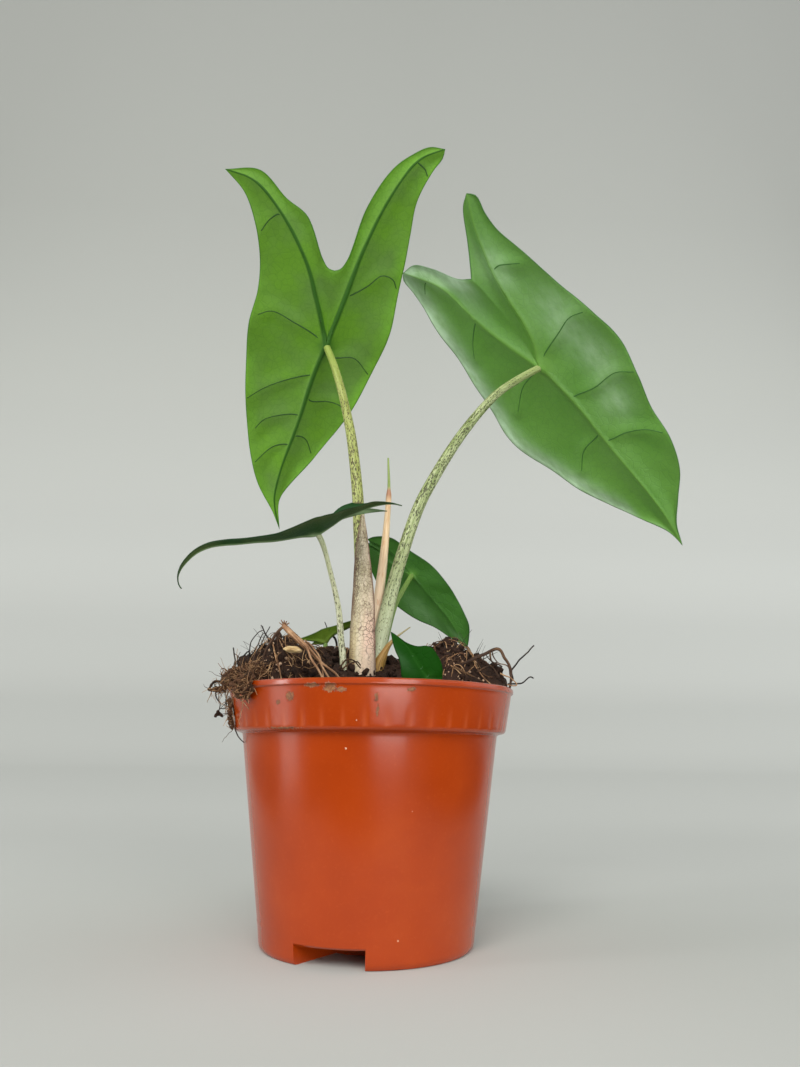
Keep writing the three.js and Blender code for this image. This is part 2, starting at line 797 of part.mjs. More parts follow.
// The next leaf, still rolled up in its pale sheath
const newShoot = {
  level: true,
  path: [[-2.5, 8.5, STALK_FOOT], [-1.4, 9.4, 75], [-0.3, 8.8, 85], [1.2, 6.2, 98.6],
    [3.2, 6.2, 117.4], [4.3, 6.8, 131.8], [4.8, 7, 143], [4.4, 7, 155.2]],
  radii: [0.9, 0.9, 1.1, 1.5, 1.7, 1.4, 1.1, 0.75, 0.4],
  steps: 14,
};

// Dry papery sheath round the left stalk's foot, drawn out to a point in front of it
const SHEATH = [
  { z: 63, x: -4, y: 0.9, rx: 3.8, ry: 3.7 },
  { z: 72, x: -3.3, y: 0.5, rx: 4.3, ry: 4.1 },
  { z: 80, x: -3.1, y: 0.3, rx: 4.4, ry: 4.1 },
  { z: 91, x: -3.2, y: 0.1, rx: 4.1, ry: 3.8 },
  { z: 103, x: -3.2, y: -0.2, rx: 3.7, ry: 3.2 },
  { z: 112, x: -3.6, y: -0.7, rx: 3, ry: 2.4 },
  { z: 119, x: -3.9, y: -1.1, rx: 2.4, ry: 1.6 },
  { z: 126, x: -4, y: -1, rx: 1.5, ry: 1.1 },
  { z: 132, x: -4, y: -0.8, rx: 0.4, ry: 0.4 },
];

// Olive scale round the right stalk's foot, its tip peeling away to the right
const SCALE = [
  { z: 66, x: 2.1, y: 5, rx: 3.5, ry: 3.5 },
  { z: 74, x: 2.1, y: 5.5, rx: 3.6, ry: 3.6 },
  { z: 81, x: 2.9, y: 5.3, rx: 3.4, ry: 3.5 },
  { z: 86, x: 4.4, y: 4.6, rx: 2.9, ry: 3 },
  { z: 89.5, x: 6.7, y: 4, rx: 1.7, ry: 1.6 },
  { z: 92, x: 9.1, y: 4.6, rx: 0.9, ry: 0.8 },
  { z: 95, x: 12.6, y: 5.6, rx: 0.4, ry: 0.4 },
];

// The scale is open at the back, on the side of the sheath
const SCALE_OPENING = [-1.6, 1.2, 0];

// Dry stalks on the soil

const strawLeft = [
  { path: [[-26, -16.6, 91.3], [-21, -16.8, 88.4], [-16.4, -16, 84.6], [-11.2, -15, 80.2],
    [-8.1, -13.6, 76], [-7, -12, 71]], radii: [1.2, 1.1, 0.9, 0.7, 0.6, 0.5], sides: 7 },
  { path: [[-25.6, -16.6, 91.4], [-27.6, -16.6, 89.4], [-30.3, -15.6, 84], [-33.1, -14, 78]],
    radii: [1.1, 0.8, 0.8, 0.7], sides: 6, steps: 6 },
  { path: [[-18.6, -17.4, 86.6], [-15, -18.4, 81.6], [-11.6, -18.6, 77], [-10.5, -18, 70]],
    radii: [0.8, 0.5, 0.45], sides: 5, steps: 6 },
];

const strawRight = [
  { path: [[24, -4, 83.5], [28.8, -5, 84.6], [33, -6, 85.3], [37.6, -8, 86.7], [39, -8.6, 85.6],
    [41, -9.8, 80.3], [41.6, -10.8, 76.4], [39.8, -10.4, 72]],
  radii: [0.6, 0.7, 0.75, 0.7, 0.7, 0.6, 0.6], sides: 6, steps: 12 },
];

const BARK_CHIP = { at: [-22, -14, 86.6], size: [3.1, 1.6, 1.3], tilt: 20, seed: 5 };

// Soil

function soilHeight(x, y) {
  const radius = Math.hypot(x, y);
  let z = SOIL_FRONT + SOIL_RISE * smoothRise((y - SOIL_RAMP[0]) / SOIL_RAMP[1]);
  for (const heap of SOIL_HEAPS) {
    const distance2 = (x - heap.x) ** 2 + (y - heap.y) ** 2;
    z += heap.height * Math.exp(-distance2 / (2 * heap.spread ** 2));
  }
  z += SOIL_ROUGHNESS * (Math.sin(0.9 * x + 1.3) * Math.cos(0.8 * y - 0.4)
    + 0.6 * Math.sin(1.7 * x - 0.6 * y + 2) * Math.cos(1.9 * y + 0.5 * x));
  const sideways = radius > 0 ? (x / radius) ** 6 : 0;
  const cap = SOIL_EDGE + SOIL_EDGE_SLOPE * (RIM_RADIUS - radius) + SOIL_SIDE_EDGE * sideways;
  return Math.min(z, cap);
}

// The earth that fills the pot: floor, wall and mound in one skin
function soilPlug() {
  const wall = potInside(SOIL_GAP).reverse();
  const neck = wall[wall.length - 1][0];
  const rings = [];
  const around = (radiusAt, heightAt) => {
    const ring = [];
    for (let j = 0; j < SOIL_SECTORS; j += 1) {
      const angle = (2 * Math.PI * j) / SOIL_SECTORS;
      const [c, s] = [Math.cos(angle), Math.sin(angle)];
      const r = radiusAt(c, s);
      ring.push(new THREE.Vector3(r * c, r * s, heightAt(r * c, r * s)));
    }
    return ring;
  };
  const edge = (c, s) => {
    const z = soilHeight(neck * c, neck * s);
    return z > RIM_HEIGHT - 1 ? neck - 0.1 : neck - 1.1;
  };
  for (const [r, z] of wall.slice(0, 4)) {
    rings.push(around(() => r, () => z));
  }
  for (let i = SOIL_RINGS; i > 0; i -= 1) {
    rings.push(around((c, s) => (edge(c, s) * i) / SOIL_RINGS, soilHeight));
  }
  return loft(rings);
}

// A lump of earth: a rough ball pressed to three radii
function lump(at, size, detail, random) {
  const geometry = new THREE.IcosahedronGeometry(1, detail);
  geometry.deleteAttribute('normal');
  geometry.deleteAttribute('uv');
  const ball = mergeVertices(geometry, 1e-4);
  const p = ball.attributes.position;
  for (let i = 0; i < p.count; i += 1) {
    const rough = 0.82 + 0.36 * random();
    p.setXYZ(i, at[0] + p.getX(i) * size[0] * rough, at[1] + p.getY(i) * size[1] * rough,
      at[2] + p.getZ(i) * size[2] * rough);
  }
  return solid(ball);
}

// Crust of earth and roots that hangs over the rim at the left
const CRUST = [
  { at: [-41, -5, 77.5], size: [6.5, 10, 4.5] },
  { at: [-44.5, -9, 73.5], size: [4.5, 8, 4] },
  { at: [-44, -14, 68], size: [3.6, 6, 4.5] },
  { at: [-42.6, -16, 62.5], size: [2.6, 4.5, 4.5] },
  { at: [-49.6, -4, 72.6], size: [3, 2.4, 1.6] },
  { at: [-36, -24, 74], size: [6, 5, 3.6] },
  { at: [-35, -28.5, 70], size: [3.2, 3.4, 3.6] },
];

// Crumbs of peat, half sunk in the surface
function soilCrumbs(random) {
  const crumbs = [];
  for (let i = 0; i < CRUMB_COUNT; i += 1) {
    const angle = 2 * Math.PI * random();
    const r = SOIL_REACH * Math.sqrt(random());
    const [x, y] = [r * Math.cos(angle), r * Math.sin(angle)];
    const size = THREE.MathUtils.lerp(...CRUMB_SIZE, random());
    const z = soilHeight(x, y) + 0.2 * size;
    crumbs.push(lump([x, y, z], [size, size, size], 0, random));
  }
  return crumbs;
}

// Root strands that arch over the heaps, two on the left for each one on the right,
// both ends sunk in the peat
function rootStrands(random) {
  const strands = [];
  for (let i = 0; i < STRAND_COUNT; i += 1) {
    const heap = STRAND_HEAPS[i % 3 === 0 ? 1 : 0];
    const cx = heap + STRAND_SPREAD[0] * (random() - 0.5);
    const cy = STRAND_SPREAD[1] * (random() - 0.5) - STRAND_FORWARD;
    const heading = 2 * Math.PI * random();
    const [c, s] = [Math.cos(heading), Math.sin(heading)];
    const half = THREE.MathUtils.lerp(...STRAND_HALF, random());
    const lift = THREE.MathUtils.lerp(...STRAND_LIFT, random());
    const sway = half * (random() - 0.5);
    const path = [-1, -0.5, 0, 0.5, 1].map((t) => {
      let x = cx + half * t * c - sway * t * t * s;
      let y = cy + half * t * s + sway * t * t * c;
      const shrink = Math.min(1, SOIL_REACH / Math.hypot(x, y));
      x *= shrink;
      y *= shrink;
      return [x, y, soilHeight(x, y) + lift * (1 - t * t) - STRAND_SINK * t * t];
    });
    strands.push(stem({ path, radii: [STRAND_RADIUS, STRAND_RADIUS], sides: 3, steps: 5 }));
  }
  return strands;
}

// Stiff dark root ends that stick up out of the heap and the crust
const BRISTLES = [
  [[-41, -3, 77], [-42.6, -2.4, 81], [-43.8, -2, 85.4]],
  [[-33, -8, 85], [-34.5, -8.5, 90], [-36, -8.5, 93.5]],
  [[-27, -4, 86], [-28.5, -4, 92], [-31, -4, 95.5]],
  [[-46.5, -9, 72], [-50.5, -9.5, 69], [-51.6, -9.5, 64.5]],
  [[43, -8, 76], [43.6, -9.5, 80.3], [47.5, -7.5, 84]],
];

function makeSoil(keepOuts) {
  const random = seeded(SOIL_SEED);
  const lumps = CRUST.map(({ at, size }) => lump(at, size, 1, random));
  const bristles = BRISTLES.map((path) => stem({ path, radii: [0.6, 0.4], sides: 4, steps: 3 }));
  let soil = soilPlug();
  for (const part of [...lumps, ...soilCrumbs(random), ...rootStrands(random), ...bristles]) {
    soil = soil.add(part);
  }
  for (const part of [potWall(CRUST_GAP), ...floorSteps(SOIL_GAP), ...keepOuts]) {
    soil = soil.subtract(part);
  }
  return largest(soil);
}

function barkChip(grow) {
  const size = BARK_CHIP.size.map((half) => half + grow);
  return lump([0, 0, 0], size, 1, seeded(BARK_CHIP.seed))
    .rotate([0, BARK_CHIP.tilt, 0])
    .translate(BARK_CHIP.at);
}

function fused(list, grow = 0) {
  return list.map((item) => stem(item, grow)).reduce((a, b) => a.add(b));
}

function makeCorm(grow) {
  const top = CORM_TOP + grow;
  const radius = CORM_RADIUS + grow;
  const profile = [
    [0, CORM_TOP - CORM_DEPTH - grow],
    [0.45 * CORM_RADIUS + grow, CORM_TOP - CORM_DEPTH - grow],
    [0.85 * CORM_RADIUS + 1.3 * grow, CORM_TOP - 0.72 * CORM_DEPTH],
    [radius, CORM_TOP - 0.4 * CORM_DEPTH],
    [radius, CORM_TOP - 0.15 * CORM_DEPTH],
    [0.93 * CORM_RADIUS + grow, top],
    [0, top],
  ];
  return turned(profile, 14).translate([CROWN[0], CROWN[1], 0]);
}

// Assembly

const stalks = {
  petiole_left: stalkLeft,
  petiole_right: stalkRight,
  petiole_narrow: stalkNarrow,
  petiole_behind: stalkBehind,
  petiole_front: stalkFront,
  petiole_low: stalkLow,
};

const leaves = {
  leaf_left: [leafLeft, LEAF_GREEN],
  leaf_right: [leafRight, LEAF_GREEN],
  leaf_narrow: [leafNarrow, LEAF_DARK],
  leaf_behind: [leafBehind, LEAF_DARK],
  leaf_front: [leafFront, LEAF_DARK],
  leaf_low: [leafLow, LEAF_GREEN],
};

const plant = new THREE.Group();

plant.add(piece('pot', makePot(), TERRACOTTA, 0.45));

const sheathClear = wrap(SHEATH, GAP);
const sheath = largest(wrap(SHEATH).subtract(stem(stalkLeft, GAP)));
const stalkRightClear = stem(stalkRight, GAP);
const scale = largest(wrap(SCALE, 0, 14)
  .subtract(stalkRightClear)
  .subtract(stalkRightClear.translate(SCALE_OPENING))
  .subtract(sheathClear));

const keepOuts = [
  makeCorm(GAP),
  sheathClear,
  wrap(SCALE, GAP, 14),
  stem(newShoot, GAP),
  fused(strawLeft, GAP),
  fused(strawRight, GAP),
  barkChip(1.4 * GAP),
  ...Object.values(stalks).map((stalk) => stem({ ...stalk, face: null }, GAP)),
];

plant.add(piece('soil', makeSoil(keepOuts), PEAT, 0.95));
plant.add(piece('corm', makeCorm(0), CORM_BROWN, 0.9));
for (const [name, stalk] of Object.entries(stalks)) {
  plant.add(piece(name, stem(stalk), STALK_GREEN, 0.5));
}
for (const [name, [leaf, color]] of Object.entries(leaves)) {
  plant.add(piece(name, blade(leaf), color, 0.45));
}
plant.add(piece('sheath', sheath, PAPER_BROWN, 0.8));
plant.add(piece('scale', scale, SCALE_OLIVE, 0.6));
plant.add(piece('new_shoot', stem(newShoot), SHOOT_PINK, 0.55));
plant.add(piece('straw_left', fused(strawLeft), STRAW, 0.85));
plant.add(piece('straw_right', fused(strawRight), STRAW, 0.85));
plant.add(piece('bark_chip', barkChip(0), BARK, 0.9));

export default plant;
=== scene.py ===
# %% [markdown]
# # A young arrow-leaf plant in a nursery pot
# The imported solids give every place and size. This script dresses them: fine leaf blades with
# raised veins, speckled stalks, papery sheaths, peat full of roots, and a moulded plastic pot.
# Shapes are worked out in millimetres, and are written to the meshes in metres.

# %% The frame
import math

import bpy
import numpy as np
from mathutils import Matrix


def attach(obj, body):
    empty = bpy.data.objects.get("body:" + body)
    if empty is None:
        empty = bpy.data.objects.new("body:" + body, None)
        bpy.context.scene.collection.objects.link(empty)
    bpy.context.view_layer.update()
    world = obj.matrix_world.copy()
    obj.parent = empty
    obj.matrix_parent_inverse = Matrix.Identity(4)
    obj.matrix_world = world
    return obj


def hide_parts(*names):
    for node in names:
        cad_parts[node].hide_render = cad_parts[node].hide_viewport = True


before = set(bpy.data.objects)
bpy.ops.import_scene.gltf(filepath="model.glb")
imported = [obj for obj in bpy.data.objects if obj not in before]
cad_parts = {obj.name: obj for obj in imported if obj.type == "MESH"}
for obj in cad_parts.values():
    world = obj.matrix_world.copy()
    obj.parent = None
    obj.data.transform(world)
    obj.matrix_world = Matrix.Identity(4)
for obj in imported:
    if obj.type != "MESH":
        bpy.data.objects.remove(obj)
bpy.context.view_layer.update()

# %% [markdown]
# ## From numbers to a mesh
# A surface here is a whole array of points. One function writes points and faces into a mesh,
# turns the faces outwards if the closed form came out inside out, shades it smooth, and keeps
# named fields on the points, such as the distance to the nearest vein, for the finishes to read.

# %% Meshes from arrays
MM = 0.001


def placed(name, data):
    """A new object with this data, linked to the scene."""
    made = bpy.data.objects.new(name, data)
    bpy.context.scene.collection.objects.link(made)
    return made


def volume(points, faces):
    """Signed volume: the sum over fan triangles of a . (b x c) / 6."""
    total = 0.0
    for block in faces:
        a = points[block[:, 0]]
        for k in range(1, block.shape[1] - 1):
            cross = np.cross(points[block[:, k]], points[block[:, k + 1]])
            total += (a * cross).sum() / 6
    return total


def add_mesh(name, points, faces, finish, smooth=True, fields=None, stands_for=(), slot=None):
    """Points (n, 3) in mm and face blocks (each an array with one face a row) become a piece."""
    if volume(points, faces) < 0:
        faces = [block[:, ::-1] for block in faces]
    corners = np.concatenate([block.ravel() for block in faces]).astype(np.int32)
    sizes = np.concatenate([np.full(len(block), block.shape[1]) for block in faces])
    starts = np.concatenate([[0], np.cumsum(sizes)[:-1]]).astype(np.int32)
    mesh = bpy.data.meshes.new(name)
    mesh.vertices.add(len(points))
    mesh.vertices.foreach_set("co", (points * MM).astype(np.float32).ravel())
    mesh.loops.add(len(corners))
    mesh.polygons.add(len(sizes))
    mesh.polygons.foreach_set("loop_start", starts)
    mesh.polygons.foreach_set("vertices", corners)
    mesh.update(calc_edges=True)
    mesh.validate()
    for field, values in (fields or {}).items():
        kind, key = ("FLOAT_VECTOR", "vector") if values.ndim == 2 else ("FLOAT", "value")
        layer = mesh.attributes.new(field, kind, "POINT")
        layer.data.foreach_set(key, values.astype(np.float32).ravel())
    mesh.polygons.foreach_set("use_smooth", np.full(len(mesh.polygons), smooth))
    mesh.materials.append(finish.material)
    piece = placed(name, mesh)
    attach(piece, "root")
    if stands_for:
        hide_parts(*stands_for)
    print(f"{name}: {len(points)} points, {int((sizes - 2).sum())} triangles")
    return piece


def grid_faces(rows, columns, closed=False):
    """Each face joins a point of a rows x columns grid to its neighbours below and beside it."""
    i, j = np.meshgrid(np.arange(rows - 1), np.arange(columns - (not closed)), indexing="ij")
    k = (j + 1) % columns
    face = np.stack([i * columns + j, i * columns + k, (i + 1) * columns + k, (i + 1) * columns + j], -1)
    return face.reshape(-1, 4)


def weld(points, quads, fields):
    """Points at one place become one point, and a face that lost a corner becomes a triangle."""
    _, first, back = np.unique(np.round(points * 2000), axis=0, return_index=True, return_inverse=True)
    corners = back.ravel()[quads]
    lost = corners == np.roll(corners, -1, axis=1)
    whole = corners[lost.sum(1) == 0]
    three = lost.sum(1) == 1
    triangles = corners[three][~lost[three]].reshape(-1, 3)
    return points[first], [whole, triangles], {key: value[first] for key, value in fields.items()}


# %% [markdown]
# ## Lines and stalks
# A stalk, a straw and a root are all the same thing: a round section carried along a smooth line.
# The line is a spline through a few points, and the section is kept from twisting by carrying
# one direction along it. Many roots are worked out together, as one array.

# %% Lines and tubes


def smooth_line(points, fractions):
    """Centripetal spline through points, read at fractions (0 to 1) of its length. Each span is a
    cubic whose end slopes weigh the neighbouring spans by the square root of their lengths."""
    p = np.asarray(points, float)
    if p.shape[1] == 2:
        p = np.column_stack([p, np.zeros(len(p))])
    p = np.vstack([2 * p[0] - p[1], p, 2 * p[-1] - p[-2]])
    p0, p1, p2, p3 = p[:-3], p[1:-2], p[2:-1], p[3:]
    spans = ((p0, p1), (p1, p2), (p2, p3))
    d0, d1, d2 = (np.sqrt(np.linalg.norm(b - a, axis=1))[:, None] for a, b in spans)
    slope1 = ((p1 - p0) / d0 - (p2 - p0) / (d0 + d1) + (p2 - p1) / d1) * d1
    slope2 = ((p2 - p1) / d1 - (p3 - p1) / (d1 + d2) + (p3 - p2) / d2) * d1
    t = np.linspace(0, 1, 40, endpoint=False)[None, :, None]
    c2 = (-3 * p1 + 3 * p2 - 2 * slope1 - slope2)[:, None]
    c3 = (2 * p1 - 2 * p2 + slope1 + slope2)[:, None]
    dense = p1[:, None] + slope1[:, None] * t + c2 * t**2 + c3 * t**3
    dense = np.vstack([dense.reshape(-1, 3), p[-2]])
    length = np.concatenate([[0], np.cumsum(np.linalg.norm(np.diff(dense, axis=0), axis=1))])
    at = np.asarray(fractions) * length[-1]
    return np.stack([np.interp(at, length, dense[:, k]) for k in range(3)], -1)


def taper(stops, t):
    """Evenly spaced stops read straight at t and then rounded off by a moving average over t."""
    plain = np.interp(t, np.linspace(0, 1, len(stops)), stops)
    reach = len(t) // 14
    kernel = np.hanning(2 * reach + 3)[1:-1]
    return np.convolve(np.pad(plain, reach, "edge"), kernel / kernel.sum(), "valid")


def unit(v):
    """Vectors divided by their lengths."""
    return v / np.maximum(np.linalg.norm(v, axis=-1, keepdims=True), 1e-12)


def tubes(paths, radii, sides):
    """Round tubes on many paths (n, steps, 3) at once: each ring is centre + r (cos a N + sin a B).
    N loses its part along the path at every step, so it does not twist. The ends are closed. The
    field grain holds (r cos a, r sin a, length so far), a place in the straightened tube."""
    count, steps, _ = paths.shape
    tangent = unit(np.gradient(paths, axis=1))
    start = np.where(np.abs(tangent[:, :1, 2:]) > 0.8, [[[0.0, 1, 0]]], [[[0.0, 0, 1]]])
    normals = [unit(np.cross(tangent[:, 0], start[:, 0]))]
    for k in range(1, steps):
        carried = normals[-1] - (normals[-1] * tangent[:, k]).sum(-1, keepdims=True) * tangent[:, k]
        normals.append(unit(carried))
    n = np.stack(normals, 1)[:, :, None]
    b = np.cross(tangent[:, :, None], n)
    a = np.arange(sides) * 2 * math.pi / sides
    c, s = np.cos(a)[:, None], np.sin(a)[:, None]
    ring = radii[:, :, None, None] * (c * n + s * b)
    points = (paths[:, :, None] + ring).reshape(-1, 3)
    length = np.linalg.norm(np.diff(paths, axis=1), axis=2)
    length = np.concatenate([np.zeros((count, 1)), np.cumsum(length, axis=1)], 1)
    thick = radii[:, :, None]
    grain = np.stack(np.broadcast_arrays(thick * c.T, thick * s.T, length[:, :, None]), -1)
    one = grid_faces(steps, sides, closed=True)
    shift = (np.arange(count) * steps * sides)[:, None, None]
    first = np.arange(sides)[::-1][None] + shift[:, 0]
    last = np.arange(sides)[None] + (steps - 1) * sides + shift[:, 0]
    faces = [(one[None] + shift).reshape(-1, 4), np.vstack([first, last])]
    return points, faces, {"grain": grain.reshape(-1, 3) * MM}


print("middle of a bent line:", smooth_line([(0, 0), (1, 1), (3, 0)], [0.5]).round(2))

# %% [markdown]
# ## Chance and roughness
# Peat, bark and dry skin are never smooth. A small lattice noise gives the roughness: every
# lattice corner has a fixed chance value, and a point mixes its eight corners. The seeds are
# fixed, so every run gives the same plant.

# %% Noise
LATTICE = np.random.default_rng(3).random(4096)


def rough(points, scale, octaves=3):
    """Mixed lattice values from -1 to 1, at a wave of scale mm, each octave half as long and strong."""
    total, weight = 0.0, 0.0
    for octave in range(octaves):
        p = points / scale * 2**octave + 17.3 * octave
        base = np.floor(p).astype(np.int64)
        f = p - base
        f = f * f * (3 - 2 * f)
        value = 0.0
        for corner in np.ndindex(2, 2, 2):
            place = (base + corner) * [73856093, 19349663, 83492791]
            key = (place[..., 0] ^ place[..., 1] ^ place[..., 2]) & 4095
            share = np.prod(np.where(corner, f, 1 - f), axis=-1)
            value = value + share * LATTICE[key]
        total = total + (2 * value - 1) / 2**octave
        weight += 1 / 2**octave
    return total / weight


def soft_step(x, start, end):
    """0 before start, 1 after end, with a soft rise 3t^2 - 2t^3 between them."""
    t = np.clip((x - start) / (end - start), 0, 1)
    return t * t * (3 - 2 * t)


print("noise range", rough(np.random.default_rng(1).random((500, 3)) * 50, 4).round(2).min())

# %% [markdown]
# ## Finishes
# Every finish is one Principled shader with sums of masks in front of it. A small class wraps a
# socket, so that a mask is written as arithmetic, and one method adds any other node.

# %% Shader sums


def hue(red, green, blue):
    """A screen colour, 0 to 255, as the linear colour that a shader needs."""
    c = np.array([red, green, blue]) / 255
    linear = np.where(c <= 0.04045, c / 12.92, ((c + 0.055) / 1.055) ** 2.4)
    return (*linear.tolist(), 1.0)


class Wire:
    """One socket. Sums and products of wires add Math nodes."""

    def __init__(self, finish, socket):
        self.finish = finish
        self.socket = socket

    def math(self, operation, a, b, clamp=False):
        """A Math node on two numbers or wires."""
        settings = {"operation": operation, "use_clamp": clamp}
        return self.finish.node("ShaderNodeMath", settings, {0: a, 1: b})

    def __add__(self, other):
        return self.math("ADD", self, other)

    def __sub__(self, other):
        return self.math("SUBTRACT", self, other)

    def __rsub__(self, other):
        return self.math("SUBTRACT", other, self)

    def __mul__(self, other):
        return self.math("MULTIPLY", self, other)

    def __truediv__(self, other):
        return self.math("DIVIDE", self, other)

    def __rtruediv__(self, other):
        return self.math("DIVIDE", other, self)

    __radd__ = __add__
    __rmul__ = __mul__

    def clip(self):
        """The value held between 0 and 1."""
        return self.math("ADD", self, 0.0, clamp=True)

    def below(self, edge, soft):
        """1 where the value is under the edge, falling to 0 over soft."""
        return ((edge + soft - self) / soft).clip()

    def above(self, edge, soft):
        """0 under the edge, rising to 1 over soft."""
        return ((self - edge) / soft).clip()


class Finish:
    """One material: a Principled shader, and the nodes that feed it."""

    def __init__(self, name, **constants):
        self.material = bpy.data.materials.new(name)
        self.material.use_nodes = True
        self.tree = self.material.node_tree
        self.shader = self.tree.nodes["Principled BSDF"]
        for key, value in constants.items():
            self.shader.inputs[key.replace("_", " ")].default_value = value

    def node(self, kind, settings=None, values=None, out=0):
        """Adds a node: its settings first, then the values or links of its sockets."""
        made = self.tree.nodes.new(kind)
        for key, value in (settings or {}).items():
            if key == "stops":
                ramp = made.color_ramp
                while len(ramp.elements) < len(value):
                    ramp.elements.new(0.5)
                for stop, (place, colour) in zip(ramp.elements, value):
                    stop.position = place
                    stop.color = colour
            else:
                setattr(made, key, value)
        for key, value in (values or {}).items():
            self.feed(made.inputs[key], value)
        return Wire(self, made.outputs[out])

    def feed(self, socket, value):
        """A wire is linked to the socket, and a plain value is set on it."""
        if isinstance(value, Wire):
            self.tree.links.new(value.socket, socket)
        else:
            socket.default_value = value

    def place(self):
        """The point's place on the object, in metres."""
        return self.node("ShaderNodeTexCoord", out="Object")

    def axis(self, letter):
        """One coordinate of the place: "X", "Y" or "Z"."""
        return self.node("ShaderNodeSeparateXYZ", None, {"Vector": self.place()}, out=letter)

    def field(self, name, out="Fac"):
        """A field that add_mesh kept on the points."""
        return self.node("ShaderNodeAttribute", {"attribute_name": name}, out=out)

    def stretched(self, vector, factors):
        """A place multiplied by three factors: a small factor draws a pattern out along its axis."""
        return self.node("ShaderNodeVectorMath", {"operation": "MULTIPLY"}, {0: vector, 1: factors})

    def noise(self, vector, size, detail=4.0, roughness=0.55, by=None):
        """Noise from 0 to 1 whose patches are about size millimetres. by stretches the place first."""
        vector = self.stretched(vector, by) if by else vector
        values = {"Vector": vector, "Scale": 1 / (size * MM), "Detail": detail, "Roughness": roughness}
        return self.node("ShaderNodeTexNoise", None, values)

    def cells(self, vector, size, feature="F1"):
        """Distances in a pattern of cells about size millimetres across, to a middle or an edge."""
        values = {"Vector": vector, "Scale": 1 / (size * MM)}
        return self.node("ShaderNodeTexVoronoi", {"feature": feature}, values, out="Distance")

    def mix(self, factor, a, b):
        """Colour a where the factor is 0, colour b where it is 1."""
        return self.node("ShaderNodeMix", {"data_type": "RGBA"}, {0: factor, 6: a, 7: b}, out=2)

    def painted(self, colour, *coats):
        """A colour under coats, each a mask and the colour that it lays over those before it."""
        for mask, coat in coats:
            colour = self.mix(mask, colour, coat)
        return colour

    def ramp(self, value, *stops):
        """A colour that runs through stops, each a value and its colour."""
        return self.node("ShaderNodeValToRGB", {"stops": stops}, {"Fac": value})

    def done(self, colour, roughness=None, height=None, depth=0.1, strength=1.0):
        """Feeds colour, roughness and a relief of depth millimetres to the shader."""
        self.feed(self.shader.inputs["Base Color"], colour)
        if roughness is not None:
            self.feed(self.shader.inputs["Roughness"], roughness)
        if height is not None:
            bump = {"Height": height, "Distance": depth * MM, "Strength": strength}
            self.feed(self.shader.inputs["Normal"], self.node("ShaderNodeBump", None, bump))
        return self


print("finish class ready")

# %% [markdown]
# ## The pot
# The real pot is blown or moulded from thin orange polypropylene: a tapered body, a taller band
# under a thin lip, faint flutes low on the band where the tool let go, and three drained pockets
# in the foot. It could be spun from one profile, but the pockets break the symmetry. So the
# surface is a grid of angle and profile, and each column takes the profile that its angle needs.

# %% The pot's profiles
RIM_RADIUS, RIM_HEIGHT = 45.0, 74.0
BAND_FOOT = 60.5
FOOT_TOP = (32.1, 5.5)
POCKETS = np.array([-19.0, 101.0, 221.0])
POCKET_HALF, POCKET_ROOF, POCKET_INNER = 18.5, 5.0, 14.0
WALL, FLOOR = 1.2, 1.5
MOUTH_STEP = (38.5, 59.3)
DRAIN_RADIUS, DRAIN_PLACE = 3.0, 24.0
POT_COLUMNS = 320


def bent_line(corners, radii, count):
    """A line through corners, each cut back by its radius and rounded with a quadratic curve
    (1-t)^2 A + 2t(1-t) P + t^2 B, then read at equal steps. A corner of radius 0 keeps a point."""
    p = np.asarray(corners, float)
    out = [p[:1]]
    t = np.linspace(0, 1, 7)[:, None]
    for k in range(1, len(p) - 1):
        back, ahead = p[k - 1] - p[k], p[k + 1] - p[k]
        cut = min(radii[k], 0.45 * np.linalg.norm(back), 0.45 * np.linalg.norm(ahead))
        a, b = p[k] + unit(back) * cut, p[k] + unit(ahead) * cut
        out.append((1 - t) ** 2 * a + 2 * t * (1 - t) * p[k] + t**2 * b)
    dense = np.vstack([*out, p[-1:]])
    length = np.concatenate([[0], np.cumsum(np.linalg.norm(np.diff(dense, axis=0), axis=1))])
    at = np.linspace(0, length[-1], count)
    for k in range(1, len(p) - 1):
        if radii[k] == 0:
            corner = length[7 * k - 3]
            at[np.abs(at - corner).argmin()] = corner
    return np.stack([np.interp(at, length, dense[:, k]) for k in range(2)], -1)


UPPER_RADII = [0, 0.4, 0.3, 0.25, 0.15, 0.3, 0.3, 0.3, 0.4, 0.5, 0.3, 0]
UPPER = [FOOT_TOP, (39.6, 59.9), (41.9, BAND_FOOT), (42.3, 61.1), (44.25, 71.8), (44.95, 72.3),
         (RIM_RADIUS, 73.5), (44.5, RIM_HEIGHT), (43.4, RIM_HEIGHT), (42.9, 73.2), (41.3, 61.5), MOUTH_STEP]
roof, step_in, step_up = POCKET_ROOF, POCKET_INNER - WALL, POCKET_ROOF + WALL
upper = bent_line(UPPER, UPPER_RADII, 150)
foot_plain = bent_line([(0, 0), (POCKET_INNER, 0), (30.8, 0), (31.6, 0.9), FOOT_TOP],
                       [0, 0, 0.3, 0.5, 0], 40)
foot_pocket = bent_line([(0, 0), (POCKET_INNER, 0), (POCKET_INNER, roof), (20, roof), (32.02, roof),
                         FOOT_TOP], [0, 0, 0.3, 0, 0.2, 0], 40)
inner_plain = bent_line([MOUTH_STEP, (31.3, step_up), (30.8, FLOOR), (step_in, FLOOR), (0, FLOOR)],
                        [0, 0, 1, 0, 0], 50)
inner_step = bent_line([MOUTH_STEP, (31.3, step_up), (step_in, step_up), (step_in, FLOOR), (0, FLOOR)],
                       [0, 0.6, 0.4, 0, 0], 50)
print("profile points:", len(foot_plain) + len(upper) + len(inner_plain))

